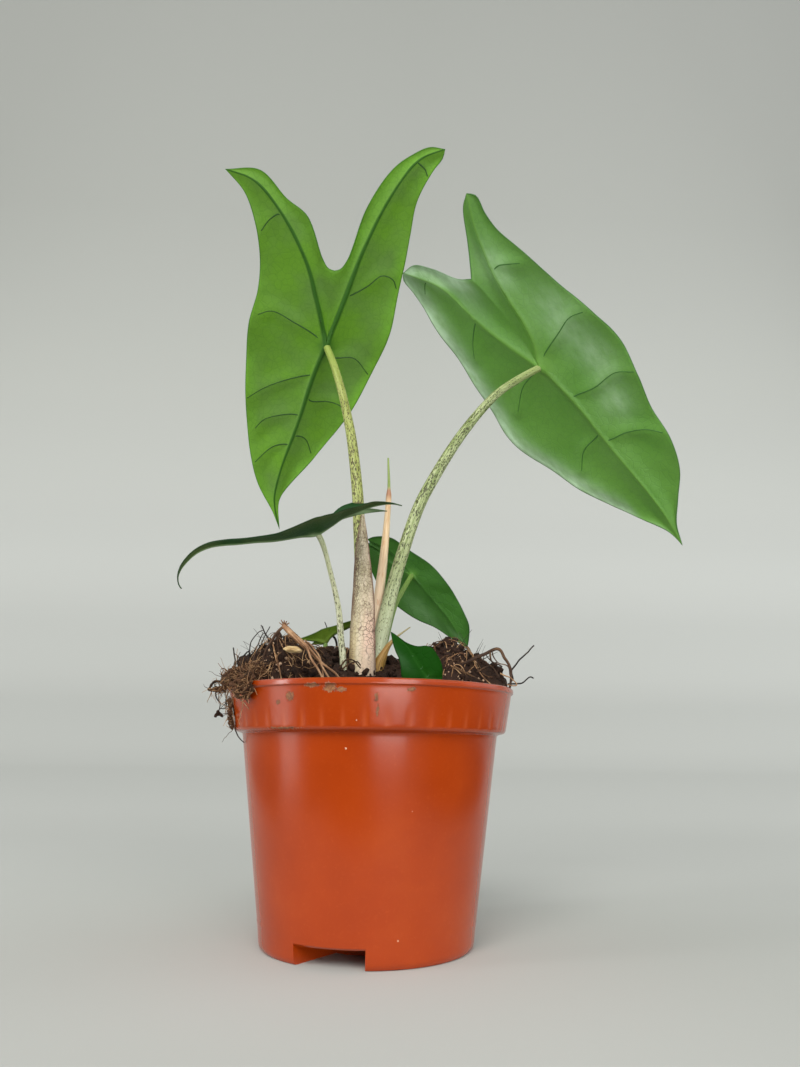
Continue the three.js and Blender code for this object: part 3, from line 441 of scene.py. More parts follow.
# %% [markdown]
# Small shifts of the radius make what a mould leaves: flutes low on the band, a ring above the
# foot, a thin groove under the lip, and a wall that isn't quite round. Peat sticks to the pot at
# a few places, and each of these is a bell in angle and height, kept as a field.

# %% The pot as one grid
step_half = POCKET_HALF + math.degrees(WALL / DRAIN_PLACE)
edges = np.concatenate([POCKETS + s * half for s in (-1, 1) for half in (POCKET_HALF, step_half)])
angle = np.arange(POT_COLUMNS) * 360 / POT_COLUMNS + 0.03
angle = np.sort(np.concatenate([angle, (edges - 0.02) % 360, (edges + 0.02) % 360]))
off_centre = np.abs((angle[:, None] - POCKETS + 180) % 360 - 180).min(1)
foot = np.where((off_centre < POCKET_HALF)[:, None, None], foot_pocket, foot_plain)
inner = np.where((off_centre < step_half)[:, None, None], inner_step, inner_plain)
middle = np.broadcast_to(upper[1:-1], (len(angle), len(upper) - 2, 2))
profile = np.concatenate([foot, middle, inner], axis=1).transpose(1, 0, 2)
r, z = profile[..., 0], profile[..., 1]
turn = np.radians(angle)
outer_band = (z > 61) & (r > 42.2 + 0.17 * (z - 61))
flute = np.maximum(np.cos(45 * (turn - 0.106)), 0) ** 5 * soft_step(z, 68.5, 61.4) * outer_band
r = r - 0.16 * flute
ring = (z > 6) & (z < 9) & (r > 31.9)
r = r + 0.07 * ring * np.exp(-((z - 7.3) / 0.25) ** 2)
r = r + 0.12 * np.sin(3 * turn + 1) * soft_step(z, 10, 60) * (r > 25)
r = r - 0.2 * np.exp(-(((z - 72) / 0.28) ** 2)) * (r > 43.5)
pot_points = np.stack([r * np.sin(turn), -r * np.cos(turn), z], -1)
# Each smudge: degrees from the front, height, half width in mm, half height in mm
smudges = [(-36.2, 67.7, 1.1, 0.7), (-30.4, 69.2, 1.6, 1.5), (-21, 72, 2.6, 0.7), (-14.5, 71.4, 2, 1.5),
           (-10.4, 70.8, 1.8, 0.8), (1.8, 68.8, 0.6, 1.8), (2.3, 65.4, 0.5, 1.6), (-34, 60.8, 7.5, 0.35),
           (-72, 68.5, 2, 3), (14, 71, 1.6, 0.7), (110, 69, 6, 2), (170, 68, 5, 2.6), (215, 70, 8, 1.6),
           (250, 66, 4, 3)]
away = (angle[:, None] - np.array([s[0] for s in smudges]) + 180) % 360 - 180
spread = np.array([[s[2] / 0.77, s[3]] for s in smudges])
rise = z[..., None] - np.array([s[1] for s in smudges])
smudge = np.exp(-((away / spread[:, 0]) ** 2) - (rise / spread[:, 1]) ** 2).max(-1) * (r > 30)
pot_fields = {"smudge": smudge.ravel(), "flute": flute.ravel()}
pot_grid = grid_faces(*profile.shape[:2], closed=True)
pot_points, pot_faces, pot_fields = weld(pot_points.reshape(-1, 3), pot_grid, pot_fields)
print("pot grid:", profile.shape[:2])

# %% [markdown]
# The plastic is a warm orange, a little paler where it is scuffed, with stuck crumbs of peat under
# the rim, and a painted highlight makes it paler along the flutes. The peat marks follow a field on
# the points, broken up by two noises, and pale specks come from the middles of a sparse cell pattern.

# %% The pot's finish
pot_finish = Finish("terracotta_plastic", Specular_IOR_Level=0.5)
where = pot_finish.place()
cloud = pot_finish.noise(where, 22, detail=3)
fine = pot_finish.noise(where, 0.9, detail=5, roughness=0.65)
broken = pot_finish.noise(where, 0.8, detail=5, roughness=0.7)
peat_mark = (pot_finish.field("smudge") + broken * 1.5 - 1.2).above(0, 0.14)
mark_colour = pot_finish.ramp(fine, (0.35, hue(70, 45, 30)), (0.5, hue(120, 82, 50)),
                              (0.65, hue(160, 118, 74)))
sparse = pot_finish.noise(where, 9, detail=1).above(0.52, 0.03)
speck = pot_finish.cells(where, 6.5).below(0.028, 0.02) * sparse
plastic = pot_finish.painted(
    pot_finish.ramp(cloud, (0.3, hue(152, 51, 2)), (0.55, hue(160, 56, 4)), (0.75, hue(167, 63, 9))),
    (fine.above(0.55, 0.25) * 0.18, hue(200, 90, 36)),
    # Painted highlight: the flutes are painted paler.
    (pot_finish.field("flute") * 0.22, hue(212, 112, 68)),
    (peat_mark * 0.85, mark_colour),
    (speck * 0.8, hue(232, 190, 150)))
gloss = 0.16 + fine * 0.06 + peat_mark * 0.35
pot_finish.done(plastic, gloss, fine * 0.012 + peat_mark * 1.2 + speck, depth=0.25, strength=0.5)

pot = add_mesh("pot_body", pot_points, pot_faces, pot_finish, fields=pot_fields,
               stands_for=("pot",), slot="pot_plastic")

# %% [markdown]
# A drain hole goes up through the roof of each pocket. Three plain pins are taken out of the
# finished wall with a Boolean, which is applied at once, because holes are awkward on a grid.

# %% Drain holes
way = np.radians(POCKETS)
pin_line = np.stack([DRAIN_PLACE * np.sin(way), -DRAIN_PLACE * np.cos(way), 0 * way], -1)
pin_line = pin_line[:, None] + np.linspace([0, 0, 3.0], [0, 0, 8.0], 3)
pins, pin_faces, _ = tubes(pin_line, np.full((3, 3), DRAIN_RADIUS), 32)
cutter_mesh = bpy.data.meshes.new("drain_pins")
cutter_mesh.from_pydata((pins * MM).tolist(), [], [f for block in pin_faces for f in block.tolist()])
cutter = placed("drain_pins", cutter_mesh)
cut = pot.modifiers.new("drains", "BOOLEAN")
cut.operation, cut.solver, cut.object = "DIFFERENCE", "MANIFOLD", cutter
cut_mesh = bpy.data.meshes.new_from_object(pot.evaluated_get(bpy.context.evaluated_depsgraph_get()))
pot.modifiers.clear()
pot.data = cut_mesh
bpy.data.objects.remove(cutter)
pot.data.set_sharp_from_angle(angle=math.radians(40))
print("pot after the drains:", len(pot.data.polygons), "faces")

# %% [markdown]
# ## The peat
# The real filling is dark peat, low at the front and heaped at both sides, with a crust of roots
# hanging over the rim on the left. It is built in layers: a rough bed worked out as one height
# over the pot, lumps for the crust, many loose clods, and fine roots on top.

# %% The height of the peat
# Each heap: x, y, height added, and the bell's spread
HEAPS = [(-12, 2, 4.5, 6.5), (-15, 13, 3.6, 4), (-9.5, -8.5, 2.4, 3), (-29.6, 0, 12.7, 8.8),
         (24.3, 2, 11.6, 8.8), (-3, 22, 11, 13), (37.6, -2, 2, 9)]
# Each ball of the crust: its middle and its three half-axes
CRUST = [((-35.8, -27.8, 72.6), (4, 3.6, 4)), ((-38.5, -21, 76.2), (4, 5, 2.2)),
         ((-43, -12, 75), (2.6, 6, 2.2)), ((-47.3, -7, 72.7), (2.8, 1.6, 1)),
         ((-41.9, -12.9, 66.4), (0.9, 2.6, 3.2)), ((-41.2, -12.5, 62.6), (0.7, 1.5, 2)),
         ((-36, -12, 78), (4, 7, 2.8))]
MOUTH = 43.1


def peat_height(x, y):
    """A ramp up to the back, plus a bell for each heap, cut off along a slope that rises from the
    rim inwards, and steeply more, by (x / r)^6, towards the left and right."""
    height = 66.5 + 9.5 * soft_step(y, -26, 4)
    for cx, cy, tall, spread in HEAPS:
        height = height + tall * np.exp(-((x - cx) ** 2 + (y - cy) ** 2) / (2 * spread**2))
    radius = np.maximum(np.hypot(x, y), 1e-6)
    cap = RIM_HEIGHT + 0.9 * (RIM_RADIUS - radius) + 4.2 * (x / radius) ** 6
    return np.minimum(height, cap)


def clotted(points):
    """Roughness of peat: broad lumps, plus crumbs that stand up as rounded bumps 1 - |noise|."""
    broad = rough(points, 6.5, 2)
    crumb = 1 - 2 * np.abs(rough(points, 2.4, 3))
    return 1.1 * broad + 0.9 * crumb


ring_r = np.concatenate([[0], np.linspace(0.02, 1, 120) ** 0.8]) * MOUTH
bed_turn = np.arange(300) * 2 * math.pi / 300
gx, gy = ring_r[:, None] * np.cos(bed_turn), ring_r[:, None] * np.sin(bed_turn)
gz = peat_height(gx, gy)
gz = gz + clotted(np.stack([gx, gy, gz], -1)) * soft_step(ring_r, MOUTH, MOUTH - 3)[:, None] - 0.3
under_rim = gz < RIM_HEIGHT - 0.6
inside_wall = (41.1 + 0.16 * (gz - 61)) / np.maximum(ring_r[:, None], 1e-6)
shrink = np.where(under_rim, np.minimum(1, inside_wall), 1)
bed = np.stack([gx * shrink, gy * shrink, gz], -1)
skirt = np.stack([bed[-1] * [0.94, 0.94, 0] + [0, 0, 62], bed[-1] * [0, 0, 0] + [0, 0, 62]])
bed = np.concatenate([bed, skirt])
bed_points, bed_faces, _ = weld(bed.reshape(-1, 3), grid_faces(*bed.shape[:2], closed=True), {})
print("peat from", gz.min().round(1), "to", gz.max().round(1), "mm")

# %% [markdown]
# Peat is nearly black where it is damp and rust brown where it has dried, with pale threads and
# bits of bark. The colour follows two noises, one of broad patches and one of fine grit.

# %% Finishes of peat and clods


def peat_finish(name, dark, middle, pale):
    """Dark, middle and pale by the mean of broad patches and fine grit, with pale threads."""
    finish = Finish(name, Specular_IOR_Level=0.25)
    where = finish.place()
    patch = finish.noise(where, 7, detail=3)
    grit = finish.noise(where, 0.8, detail=5, roughness=0.7)
    thread = finish.noise(where, 0.7, detail=2, by=(1, 0.25, 0.6))
    colour = finish.ramp(patch * 0.5 + grit * 0.5, (0.36, dark), (0.5, middle), (0.62, dark), (0.72, pale))
    colour = finish.mix(thread.above(0.66, 0.05) * 0.45, colour, pale)
    return finish.done(colour, 0.78 + grit * 0.2, grit, depth=0.5, strength=0.9)


dark_peat = peat_finish("dark_peat", hue(26, 17, 13), hue(54, 36, 26), hue(118, 84, 56))
dry_peat = peat_finish("dry_peat", hue(40, 26, 19), hue(100, 69, 47), hue(176, 140, 102))
add_mesh("peat_bed", bed_points, bed_faces, dark_peat, stands_for=("soil",), slot="peat")

# %% [markdown]
# A clod is a rough ball: a twenty-sided form whose corners are pushed in and out by chance, then
# squashed and turned. Hundreds are made at once, each with only 20 or 80 faces.

# %% Clods


def ball(levels):
    """A ball from the twelve corners of an icosahedron, each face cut in four, levels times."""
    g = (1 + 5**0.5) / 2
    p = np.array([(-1, g, 0), (1, g, 0), (-1, -g, 0), (1, -g, 0), (0, -1, g), (0, 1, g), (0, -1, -g),
                  (0, 1, -g), (g, 0, -1), (g, 0, 1), (-g, 0, -1), (-g, 0, 1)])
    near = np.linalg.norm(p[:, None] - p, axis=2)
    touch = np.isclose(near, 2)
    trio = np.array(np.meshgrid(*[np.arange(12)] * 3, indexing="ij")).reshape(3, -1).T
    a, b, c = trio.T
    faces = trio[(a < b) & (b < c) & touch[a, b] & touch[b, c] & touch[a, c]]
    for _ in range(levels):
        corners = p[faces]
        halves = (corners + np.roll(corners, -1, axis=1)) / 2
        ab, bc, ca = halves[:, 0], halves[:, 1], halves[:, 2]
        a, b, c = corners[:, 0], corners[:, 1], corners[:, 2]
        soup = np.stack([[a, ab, ca], [ab, b, bc], [ca, bc, c], [ab, bc, ca]])
        soup = soup.transpose(0, 2, 1, 3).reshape(-1, 3)
        p, back = np.unique(soup.round(6), axis=0, return_inverse=True)
        faces = back.ravel().reshape(-1, 3)
    p = unit(p)
    a, b, c = (p[faces[:, k]] for k in range(3))
    turned = (np.cross(b - a, c - a) * (a + b + c)).sum(1) < 0
    faces[turned] = faces[turned][:, ::-1]
    return p, faces


def clods(centres, sizes, levels, jag, seed):
    """One rough ball at each centre: corner distances 1 + jag * chance, three chance half-axes,
    and a chance turn (the Q of a random matrix)."""
    rng = np.random.default_rng(seed)
    p, faces = ball(levels)
    count = len(centres)
    bumpy = p[None] * (1 + jag * rng.uniform(-1, 1, (count, len(p), 1)))
    bumpy = bumpy * rng.uniform(0.6, 1.2, (count, 1, 3))
    turns = np.linalg.qr(rng.normal(size=(count, 3, 3)))[0]
    turns = turns * np.sign(np.linalg.det(turns))[:, None, None]
    points = np.einsum("nij,nkj->nki", turns, bumpy) * sizes[:, None, None] + centres[:, None]
    shift = (np.arange(count) * len(p))[:, None, None]
    return points.reshape(-1, 3), [(faces[None] + shift).reshape(-1, 3)]


CLODS = 1700
rng = np.random.default_rng(21)
spin, reach = rng.uniform(0, 2 * math.pi, CLODS), 42 * np.sqrt(rng.random(CLODS))
cx, cy = reach * np.cos(spin), reach * np.sin(spin)
size = rng.uniform(0.4, 1.0, CLODS) * rng.choice([1, 1, 1.4, 2], CLODS)
reach_most = np.where(peat_height(cx, cy) < RIM_HEIGHT, 40.4, 42.6) - 0.6 * size
pull = np.minimum(1, reach_most / np.hypot(cx, cy))
cx, cy = cx * pull, cy * pull
centres = np.stack([cx, cy, peat_height(cx, cy) + rng.uniform(-0.1, 0.8, CLODS) * size + 0.4], -1)
add_mesh("peat_clods", *clods(centres, size, 0, 0.3, 4), dark_peat, smooth=False, slot="peat")


def in_crust(count, seed, fill=1.0):
    """Chance points inside the crust's balls, each ball taking a share by its size, kept off the pot."""
    rng = np.random.default_rng(seed)
    middle = np.array([c for c, _ in CRUST], float)
    half = np.array([h for _, h in CRUST], float)
    share = half.prod(1) ** 0.75
    pick = rng.choice(len(CRUST), count, p=share / share.sum())
    shell = unit(rng.normal(size=(count, 3))) * rng.uniform(0.35, 1, (count, 1)) ** 0.5
    points = middle[pick] + shell * half[pick] * fill
    return off_the_pot(points, 0.5)


# Heights up the pot, and the outer radius of its wall at each
WALL_OUTSIDE = [0, 60, 60.6, 72, 74], [31.6, 39.7, 42.4, 44.4, 45.1]


def off_the_pot(points, gap):
    """Points that are inside the pot's wall or too near it move straight out, or above the rim."""
    radius = np.hypot(points[:, 0], points[:, 1])
    wall = np.interp(points[:, 2], *WALL_OUTSIDE)
    over = points[:, 2] > RIM_HEIGHT + gap
    inside = (radius < 42.6) & (points[:, 2] > 71) | over
    least = np.where(inside, 0, wall + gap)
    scale = np.maximum(1, least / radius)
    return points * np.stack([scale, scale, np.ones(len(scale))], -1)


CRUMBS = 1000
crust_parts, crust_faces, start = [], [], 0
ball_points, ball_faces = ball(3)
for c, half in CRUST:
    lump = ball_points * np.array(half) * 0.58
    lump = lump * (1 + 0.22 * rough(lump + c, 3.0, 3)[:, None]) + c
    crust_parts.append(off_the_pot(lump, 0.25))
    crust_faces.append(ball_faces + start)
    start += len(ball_points)
lump_points = np.vstack(crust_parts)
crumb_sizes = np.random.default_rng(9).uniform(0.22, 0.8, CRUMBS)
crumb_points, crumb_faces = clods(in_crust(CRUMBS, 8), crumb_sizes, 0, 0.4, 10)
crumb_points = off_the_pot(crumb_points, 0.15)
add_mesh("crust_lumps", np.vstack([lump_points, crumb_points]), crust_faces + [crumb_faces[0] + start],
         dry_peat, smooth=False, slot="peat")

# %% [markdown]
# ## Roots in the peat
# Roots of three ages show: pale tan ones that arch over the heaps, short curls that knit the
# crust together, and thin black hairs that stick up into the light. All are tubes with four to
# six sides, worked out together. Both ends of an arch are sunk in the peat.

# %% Families of roots


def arches(count, heaps, spread, half, lift, radius, seed, sides=5, steps=13):
    """Each arch runs from -1 to 1 in t: its middle is near a heap, it is half long each way,
    lifts by lift (1 - t^2) over the peat, sways by t^2, and wriggles with a little noise."""
    rng = np.random.default_rng(seed)
    middle = np.array(heaps, float)[rng.integers(len(heaps), size=count)]
    middle = middle + rng.uniform(-0.5, 0.5, (count, 2)) * spread
    heading = rng.uniform(0, 2 * math.pi, (count, 1))
    t = np.linspace(-1, 1, steps)[None]
    long = rng.uniform(*half, (count, 1))
    sway = long * rng.uniform(-0.8, 0.8, (count, 1)) * t**2
    x = middle[:, :1] + long * t * np.cos(heading) - sway * np.sin(heading)
    y = middle[:, 1:] + long * t * np.sin(heading) + sway * np.cos(heading)
    shift = rng.uniform(0, 400, (count, 1, 1))
    flat = np.stack([x, y, 0 * x], -1)
    wriggle = np.stack([rough(flat + shift + k, 3.5, 2) for k in (0, 97, 191)], -1) * 1.3
    x, y = x + wriggle[..., 0], y + wriggle[..., 1]
    radial = np.maximum(np.hypot(x, y), 1e-6)
    most = np.where(peat_height(x, y) < RIM_HEIGHT + 0.5, 40.2, 42.4)
    pull = np.minimum(1, most / radial)
    x, y = x * pull, y * pull
    rise = rng.uniform(*lift, (count, 1))
    z = peat_height(x, y) + 0.5 + rise * (1 - t**2) - 1.4 * t**4 + wriggle[..., 2] * (1 - t**2)
    thick = rng.uniform(*radius, (count, 1)) * (1 - 0.45 * t**2)
    return tubes(np.stack([x, y, z], -1), thick, sides)


def curls(count, seed, radius, steps=11):
    """Short bent roots of the crust: a quadratic curve between two chance points near each other,
    its middle pulled outwards and moved up or down by chance, held off the pot's wall."""
    rng = np.random.default_rng(seed)
    a = in_crust(count, seed + 1, 1.02)
    b = a + rng.normal(size=(count, 3)) * [1.9, 2.8, 2.2]
    out = unit(a * [1, 1, 0]) * rng.uniform(0, 1.3, (count, 1))
    middle = (a + b) / 2 + out + [0, 0, 0.6] * rng.normal(size=(count, 1))
    t = np.linspace(0, 1, steps)[None, :, None]
    line = (1 - t) ** 2 * a[:, None] + 2 * t * (1 - t) * middle[:, None] + t**2 * b[:, None]
    line = line + 0.5 * np.stack([rough(line + k, 2.2, 2) for k in (0, 31, 63)], -1)
    line = off_the_pot(line.reshape(-1, 3), 0.4).reshape(line.shape)
    thick = rng.uniform(*radius, (count, 1)) * np.linspace(1, 0.5, steps)
    return tubes(line, thick, 5)


def hairs(count, seed, radius, length, steps=8):
    """Thin root ends that start in the peat and bend as they rise: start + s up + s^2 side."""
    rng = np.random.default_rng(seed)
    spin, far = rng.uniform(0, 2 * math.pi, count), rng.choice([-1, 1], count)
    x, y = far * 30 + 9 * np.cos(spin) * rng.random(count), 12 * np.sin(spin) * rng.random(count)
    start = np.stack([x, y, peat_height(x, y) - 0.8], -1)[:, None]
    t = np.linspace(0, 1, steps)[None, :, None]
    way = unit(rng.normal(size=(count, 1, 3)) * [1, 1, 0.4] + [0, 0, 1.1])
    side = rng.normal(size=(count, 1, 3)) * [0.5, 0.5, 0.3]
    reach = rng.uniform(*length, (count, 1, 1))
    line = start + reach * (t * way + t**2 * side)
    return tubes(line, rng.uniform(*radius, (count, 1)) * np.linspace(1, 0.35, steps), 4)


def gathered(*families):
    """Several families of tubes as one set of points, face blocks and fields."""
    points, faces, grain, start = [], [], [], 0
    for family_points, family_faces, fields in families:
        points.append(family_points)
        faces += [block + start for block in family_faces]
        grain.append(fields["grain"])
        start += len(family_points)
    return np.vstack(points), faces, {"grain": np.vstack(grain)}


def threads(lines, radius, steps=24, sides=6, wobble=0.25):
    """Roots that the photograph shows one by one: a smooth line through a few places each."""
    t = np.linspace(0, 1, steps)
    paths = np.stack([smooth_line(line, t) for line in lines])
    paths = paths + wobble * np.stack([rough(paths + k, 2.5, 2) for k in (0, 41, 83)], -1)
    return tubes(paths, np.full((len(lines), steps), radius) * np.linspace(1, 0.7, steps), sides)


print("points of one hair:", len(hairs(1, 1, (0.1, 0.1), (5, 5))[0]))

# %% [markdown]
# A root's skin is tan to olive with darker joints along it, so its colour changes slowly along the
# tube and from root to root. The field called grain runs round and along each tube.

# %% Root finishes and the roots


def root_finish(name, dark, pale, tip):
    """Three colours by patches in space, and along each root by a mottle on its grain."""
    finish = Finish(name, Specular_IOR_Level=0.3)
    grain = finish.field("grain", out="Vector")
    where = finish.place()
    which = finish.noise(where, 5, detail=2)
    mottle = finish.noise(grain, 1.3, detail=3)
    colour = finish.ramp(which * 0.65 + mottle * 0.35, (0.38, dark), (0.52, pale), (0.66, tip))
    return finish.done(colour, 0.7 + mottle * 0.2, mottle, depth=0.15, strength=0.6)


tan_root = root_finish("tan_root", hue(96, 66, 44), hue(158, 120, 84), hue(198, 166, 124))
old_root = root_finish("old_root", hue(34, 23, 17), hue(70, 48, 31), hue(118, 88, 58))
black_root = root_finish("black_root", hue(24, 20, 18), hue(42, 36, 32), hue(84, 74, 62))

HEAP_PLACES = [(-31, -3), (-31, -3), (-24, -8), (28, -4), (30, -3), (-3, 14)]
TAN_THREADS = [
    [[-31.5, -4.5, 87], [-30.4, -7.2, 84.4], [-29, -9.9, 81], [-27.4, -13, 75.6]],
    [[-36.4, -7, 81], [-36, -9.4, 80.4], [-33.9, -12.2, 77.7], [-31.4, -11, 79], [-30.5, -9, 79.6]],
    [[-23.4, -6, 81.9], [-20, -4.2, 82.6], [-20.9, -6.9, 80.6], [-22.8, -10.2, 77.4]],
    [[-12.5, -2, 78.6], [-8.9, -1.6, 80.3], [-7, -2.4, 81.4], [-5.4, -3.6, 82]],
    [[21, -6, 80], [24.1, -5.9, 83.4], [28.5, -5.6, 85.2], [30, -4.6, 84]],
    [[23.2, -6, 82.8], [26.5, -9.4, 79.4], [29.4, -11.4, 76.6]],
    [[40, -9.6, 78.6], [43.4, -9.9, 77], [44.6, -11.6, 75.2], [43.2, -13, 74.7], [41.4, -12.6, 75]],
    [[-32, -14, 88], [-31, -14, 87.4], [-29.5, -14, 82.9], [-27.7, -14, 76.9]],
    [[-35.4, -16, 79.6], [-34.7, -16, 78.4], [-32.6, -16, 76.9], [-30.9, -16, 78.4], [-30.4, -15, 80]]]
OLD_THREADS = [
    [[-28.6, -4.6, 84.4], [-27.8, -6, 85.2], [-25, -6, 84], [-22.1, -3, 84.9], [-19.5, -1.5, 83]],
    [[-10.6, -3.5, 78.4], [-9.4, -5, 82.2], [-7.9, -4.6, 85.4], [-7.7, -3.8, 86.6]],
    [[-10, -4.6, 77.6], [-8, -5.6, 80], [-7.8, -5, 83.2]],
    [[22, -8.4, 78.4], [25.2, -7.4, 82.2], [27.8, -6.2, 84.6]],
    [[32.4, -10, 78.8], [37, -8.4, 81], [40, -9.6, 77]],
    [[25.6, -8.4, 80.8], [29.7, -11.2, 78.2], [34.4, -12.6, 75.6]],
    [[37, -8, 85.6], [37.6, -8, 82.8], [40.8, -9, 80.8]],
    [[-10.2, -8.6, 79.4], [-8, -9.4, 82.2], [-5.8, -9.6, 82], [-3.4, -9.4, 79.6]],
    [[-9.6, -9, 79], [-7, -9.4, 80.8], [-4.6, -9.6, 81.6], [-3.4, -9.6, 80.4]]]
LOOP = [
    [[-44.4, -8, 73.2], [-46.1, -8, 75], [-48.5, -8, 75], [-49.3, -8, 73.5], [-50.1, -8, 72.8],
     [-48, -8, 72.2]],
    [[-45, -7, 74.5], [-47.2, -7, 75.2], [-49.3, -7, 74.4], [-49.6, -7, 73.2], [-47.9, -7, 72.6]]]
STIFF_HAIRS = [
    [[-42.6, -5, 76], [-42.8, -5, 79], [-43.2, -5, 82.4], [-43.9, -5, 85.9]],
    [[-40.6, -7, 77], [-39.9, -8, 83], [-38.6, -7.6, 84.4], [-37.6, -7, 82.6]],
    [[44, -8, 76.4], [44.2, -6.6, 80.1], [47.6, -6, 83.9], [51.5, -6, 87.8]],
    [[42.4, -9.4, 75.4], [46.6, -10, 75.8], [49.2, -10, 77.6], [50.2, -10, 77.2]]]
FINE_HAIRS = [
    [[-30.8, -8, 84], [-31.6, -8, 85.7], [-32.3, -8, 88.2], [-34.8, -8, 92.5]],
    [[-37, -8, 83], [-36.2, -8, 85.6], [-34.6, -8, 89.4], [-34, -8, 90.4]],
    [[-38.4, -8, 82], [-38.1, -8, 85], [-37.6, -8, 88.1], [-35.9, -8, 90.3], [-34.1, -8, 91.3]],
    [[-31.8, -5.6, 86], [-33.6, -6, 90], [-35.4, -6, 93.2]],
    [[-36.6, -6, 83.4], [-34.5, -6, 88.4], [-32.5, -6, 92.6]],
    [[-47.6, -10, 71.6], [-46.9, -10, 69.7], [-45.9, -10, 68.9], [-46.1, -10, 66.8], [-46.3, -10, 65.8]],
    [[-43.7, -10, 72.2], [-44.1, -10, 69.5], [-43.9, -10, 68.3], [-44.1, -10, 67.1], [-45.8, -10, 67.2]],
    [[-41.3, -12, 62.9], [-40.5, -12, 60.9], [-39.5, -12, 58.9], [-37.6, -12, 56.9]],
    [[-20.4, -5, 84], [-22, -5.4, 87.4], [-24, -5.4, 90.4]],
    [[-15.2, 18, 94.6], [-15.7, 18, 96], [-16.7, 18, 98.3]]]
BACK_ROOT = [[[-14.4, 15, 93.4], [-13, 14, 92.2], [-12.3, 14, 90.7], [-12, 14, 86]]]
tan_set = gathered(
    arches(75, HEAP_PLACES, (22, 20), (3, 9), (0.1, 2.6), (0.06, 0.17), 31),
    curls(480, 51, (0.06, 0.15)), threads(TAN_THREADS, 0.22))
old_set = gathered(
    arches(95, HEAP_PLACES, (24, 24), (3, 8), (0.1, 2.8), (0.06, 0.19), 77),
    curls(260, 91, (0.07, 0.2)), threads(OLD_THREADS, 0.3), threads(LOOP, 0.42))
black_set = gathered(
    hairs(46, 13, (0.08, 0.16), (4, 9)), threads(STIFF_HAIRS, 0.3, wobble=0.35),
    threads(FINE_HAIRS, 0.2, wobble=0.3), threads(BACK_ROOT, 0.42, wobble=0.1))
for kind, roots, finish in (("tan", tan_set, tan_root), ("old", old_set, old_root),
                            ("black", black_set, black_root)):
    add_mesh("roots_" + kind, *roots[:2], finish, fields=roots[2], slot="peat")

# %% [markdown]
# Pale grains of bark and straw lie on the heaps, and three crumbs hang on a thread at the left.
# Both are clods again, smaller ones, dropped on the height of the peat.

# %% Pale bits and hanging crumbs
BITS = 90
pale_bits = peat_finish("pale_bits", hue(150, 116, 92), hue(196, 164, 134), hue(224, 200, 172))
bit_rng = np.random.default_rng(66)
bit_places = np.array([(-29, -7), (-27, -12), (-33, -10), (28, -9)])
bits = bit_places[bit_rng.integers(4, size=BITS)] + bit_rng.normal(size=(BITS, 2)) * 4.2
bits = bits * np.minimum(1, 39.5 / np.hypot(*bits.T))[:, None]
bits = np.column_stack([bits, peat_height(*bits.T) + 0.9])
bits = clods(bits, bit_rng.uniform(0.2, 0.6, BITS), 0, 0.4, 67)
add_mesh("pale_bits", *bits, pale_bits, smooth=False, slot="peat")
crumb_places = np.array([[-46.2, -10, 65.6], [-45.4, -9.6, 65], [-46.9, -9.8, 64.9]])
hanging = clods(crumb_places, np.array([0.95, 0.7, 0.6]), 1, 0.3, 6)
add_mesh("hanging_crumb", *hanging, dark_peat, smooth=False, slot="peat")

# %% [markdown]
# ## The leaves
# Every leaf is shield-shaped: the stalk joins the underside of the blade below the notch between
# two lobes. A blade could be cut from one flat outline, but its rows should run from the ribs to
# the margin, as the veins do. So each half is a net between its ribs and its margin, first in flat
# leaf coordinates (u across, v towards the notch), and then lifted by one height for all.

# %% Leaf shapes
# Flat places are in mm from the joint. Side 0 is the half on the -u side, and side 1 the other.
# Painted light on a blade: the amount that curls the margin of half 0 back also sets a painted highlight
# stripe along it, sheen lists painted sheen patches (u, v and two half widths), and glow sets a painted
# glow of light coming through near the margin.
LARGE = dict(droop=0.0015, lobe_droop=0.0, crease=0.13, roll=0.0045, wave=0.7, waves=0.21, quilt=1.35,
             rib_tall=0.95, rib_wide=1.15, rib_rows=56, mid_rows=110, outer=34, inner=22, lean=0.9,
             rib_share=9 / 25, vein_out=0.11, vein_thick=0.34, thick=0.2, hub=1.3, star=3.5, rib_show=0.85,
             sheen=[], rolled=0.0, glow=0.3)
SMALL = dict(LARGE, crease=0.2, roll=0.012, wave=0.3, waves=0.4, quilt=0.35, rib_tall=0.45, rib_wide=0.6,
             rib_rows=34, mid_rows=70, outer=24, inner=16, rib_share=1 / 3, vein_out=0.04, vein_thick=0.17,
             thick=0.16, hub=0.4, star=1.6)
NARROW_KEEL = [(27.8, -4.2), (24.8, -5.2), (18.1, -5.2), (11.7, -4.3), (7.8, -3.4), (4.4, -1.7),
               (1.8, -0.5), (0, 0.1), (-5, 0.3), (-13.6, 0.7), (-19.5, 0.4), (-25.4, 0.3), (-29.5, 0.1),
               (-33.6, 0.3), (-37.8, 1.6), (-41.1, 3.9), (-43.3, 6.3), (-44.2, 8.3), (-44.2, 10.5),
               (-43.6, 11.8)]
NARROW_LOBES, NARROW_TIP = 31, -51
NARROW_TWIST = 0.22


def narrow_bend(u, v):
    """The narrow leaf's midrib lies on its own line: v becomes a place on the keel, and towards the
    lobes one half twists up and the other down by a share of u."""
    place = smooth_line(NARROW_KEEL, (NARROW_LOBES - v) / (NARROW_LOBES - NARROW_TIP))
    return place[:, 0], place[:, 1] + NARROW_TWIST * u * soft_step(v, 4, 24)


def narrow_fold(v):
    """Rolled up tightly along the tail, half open in the middle, and nearly flat at the lobes."""
    return 0.5 + 0.7 * (1 - soft_step(v, -34, -14)) - 0.3 * soft_step(v, 2, 20)


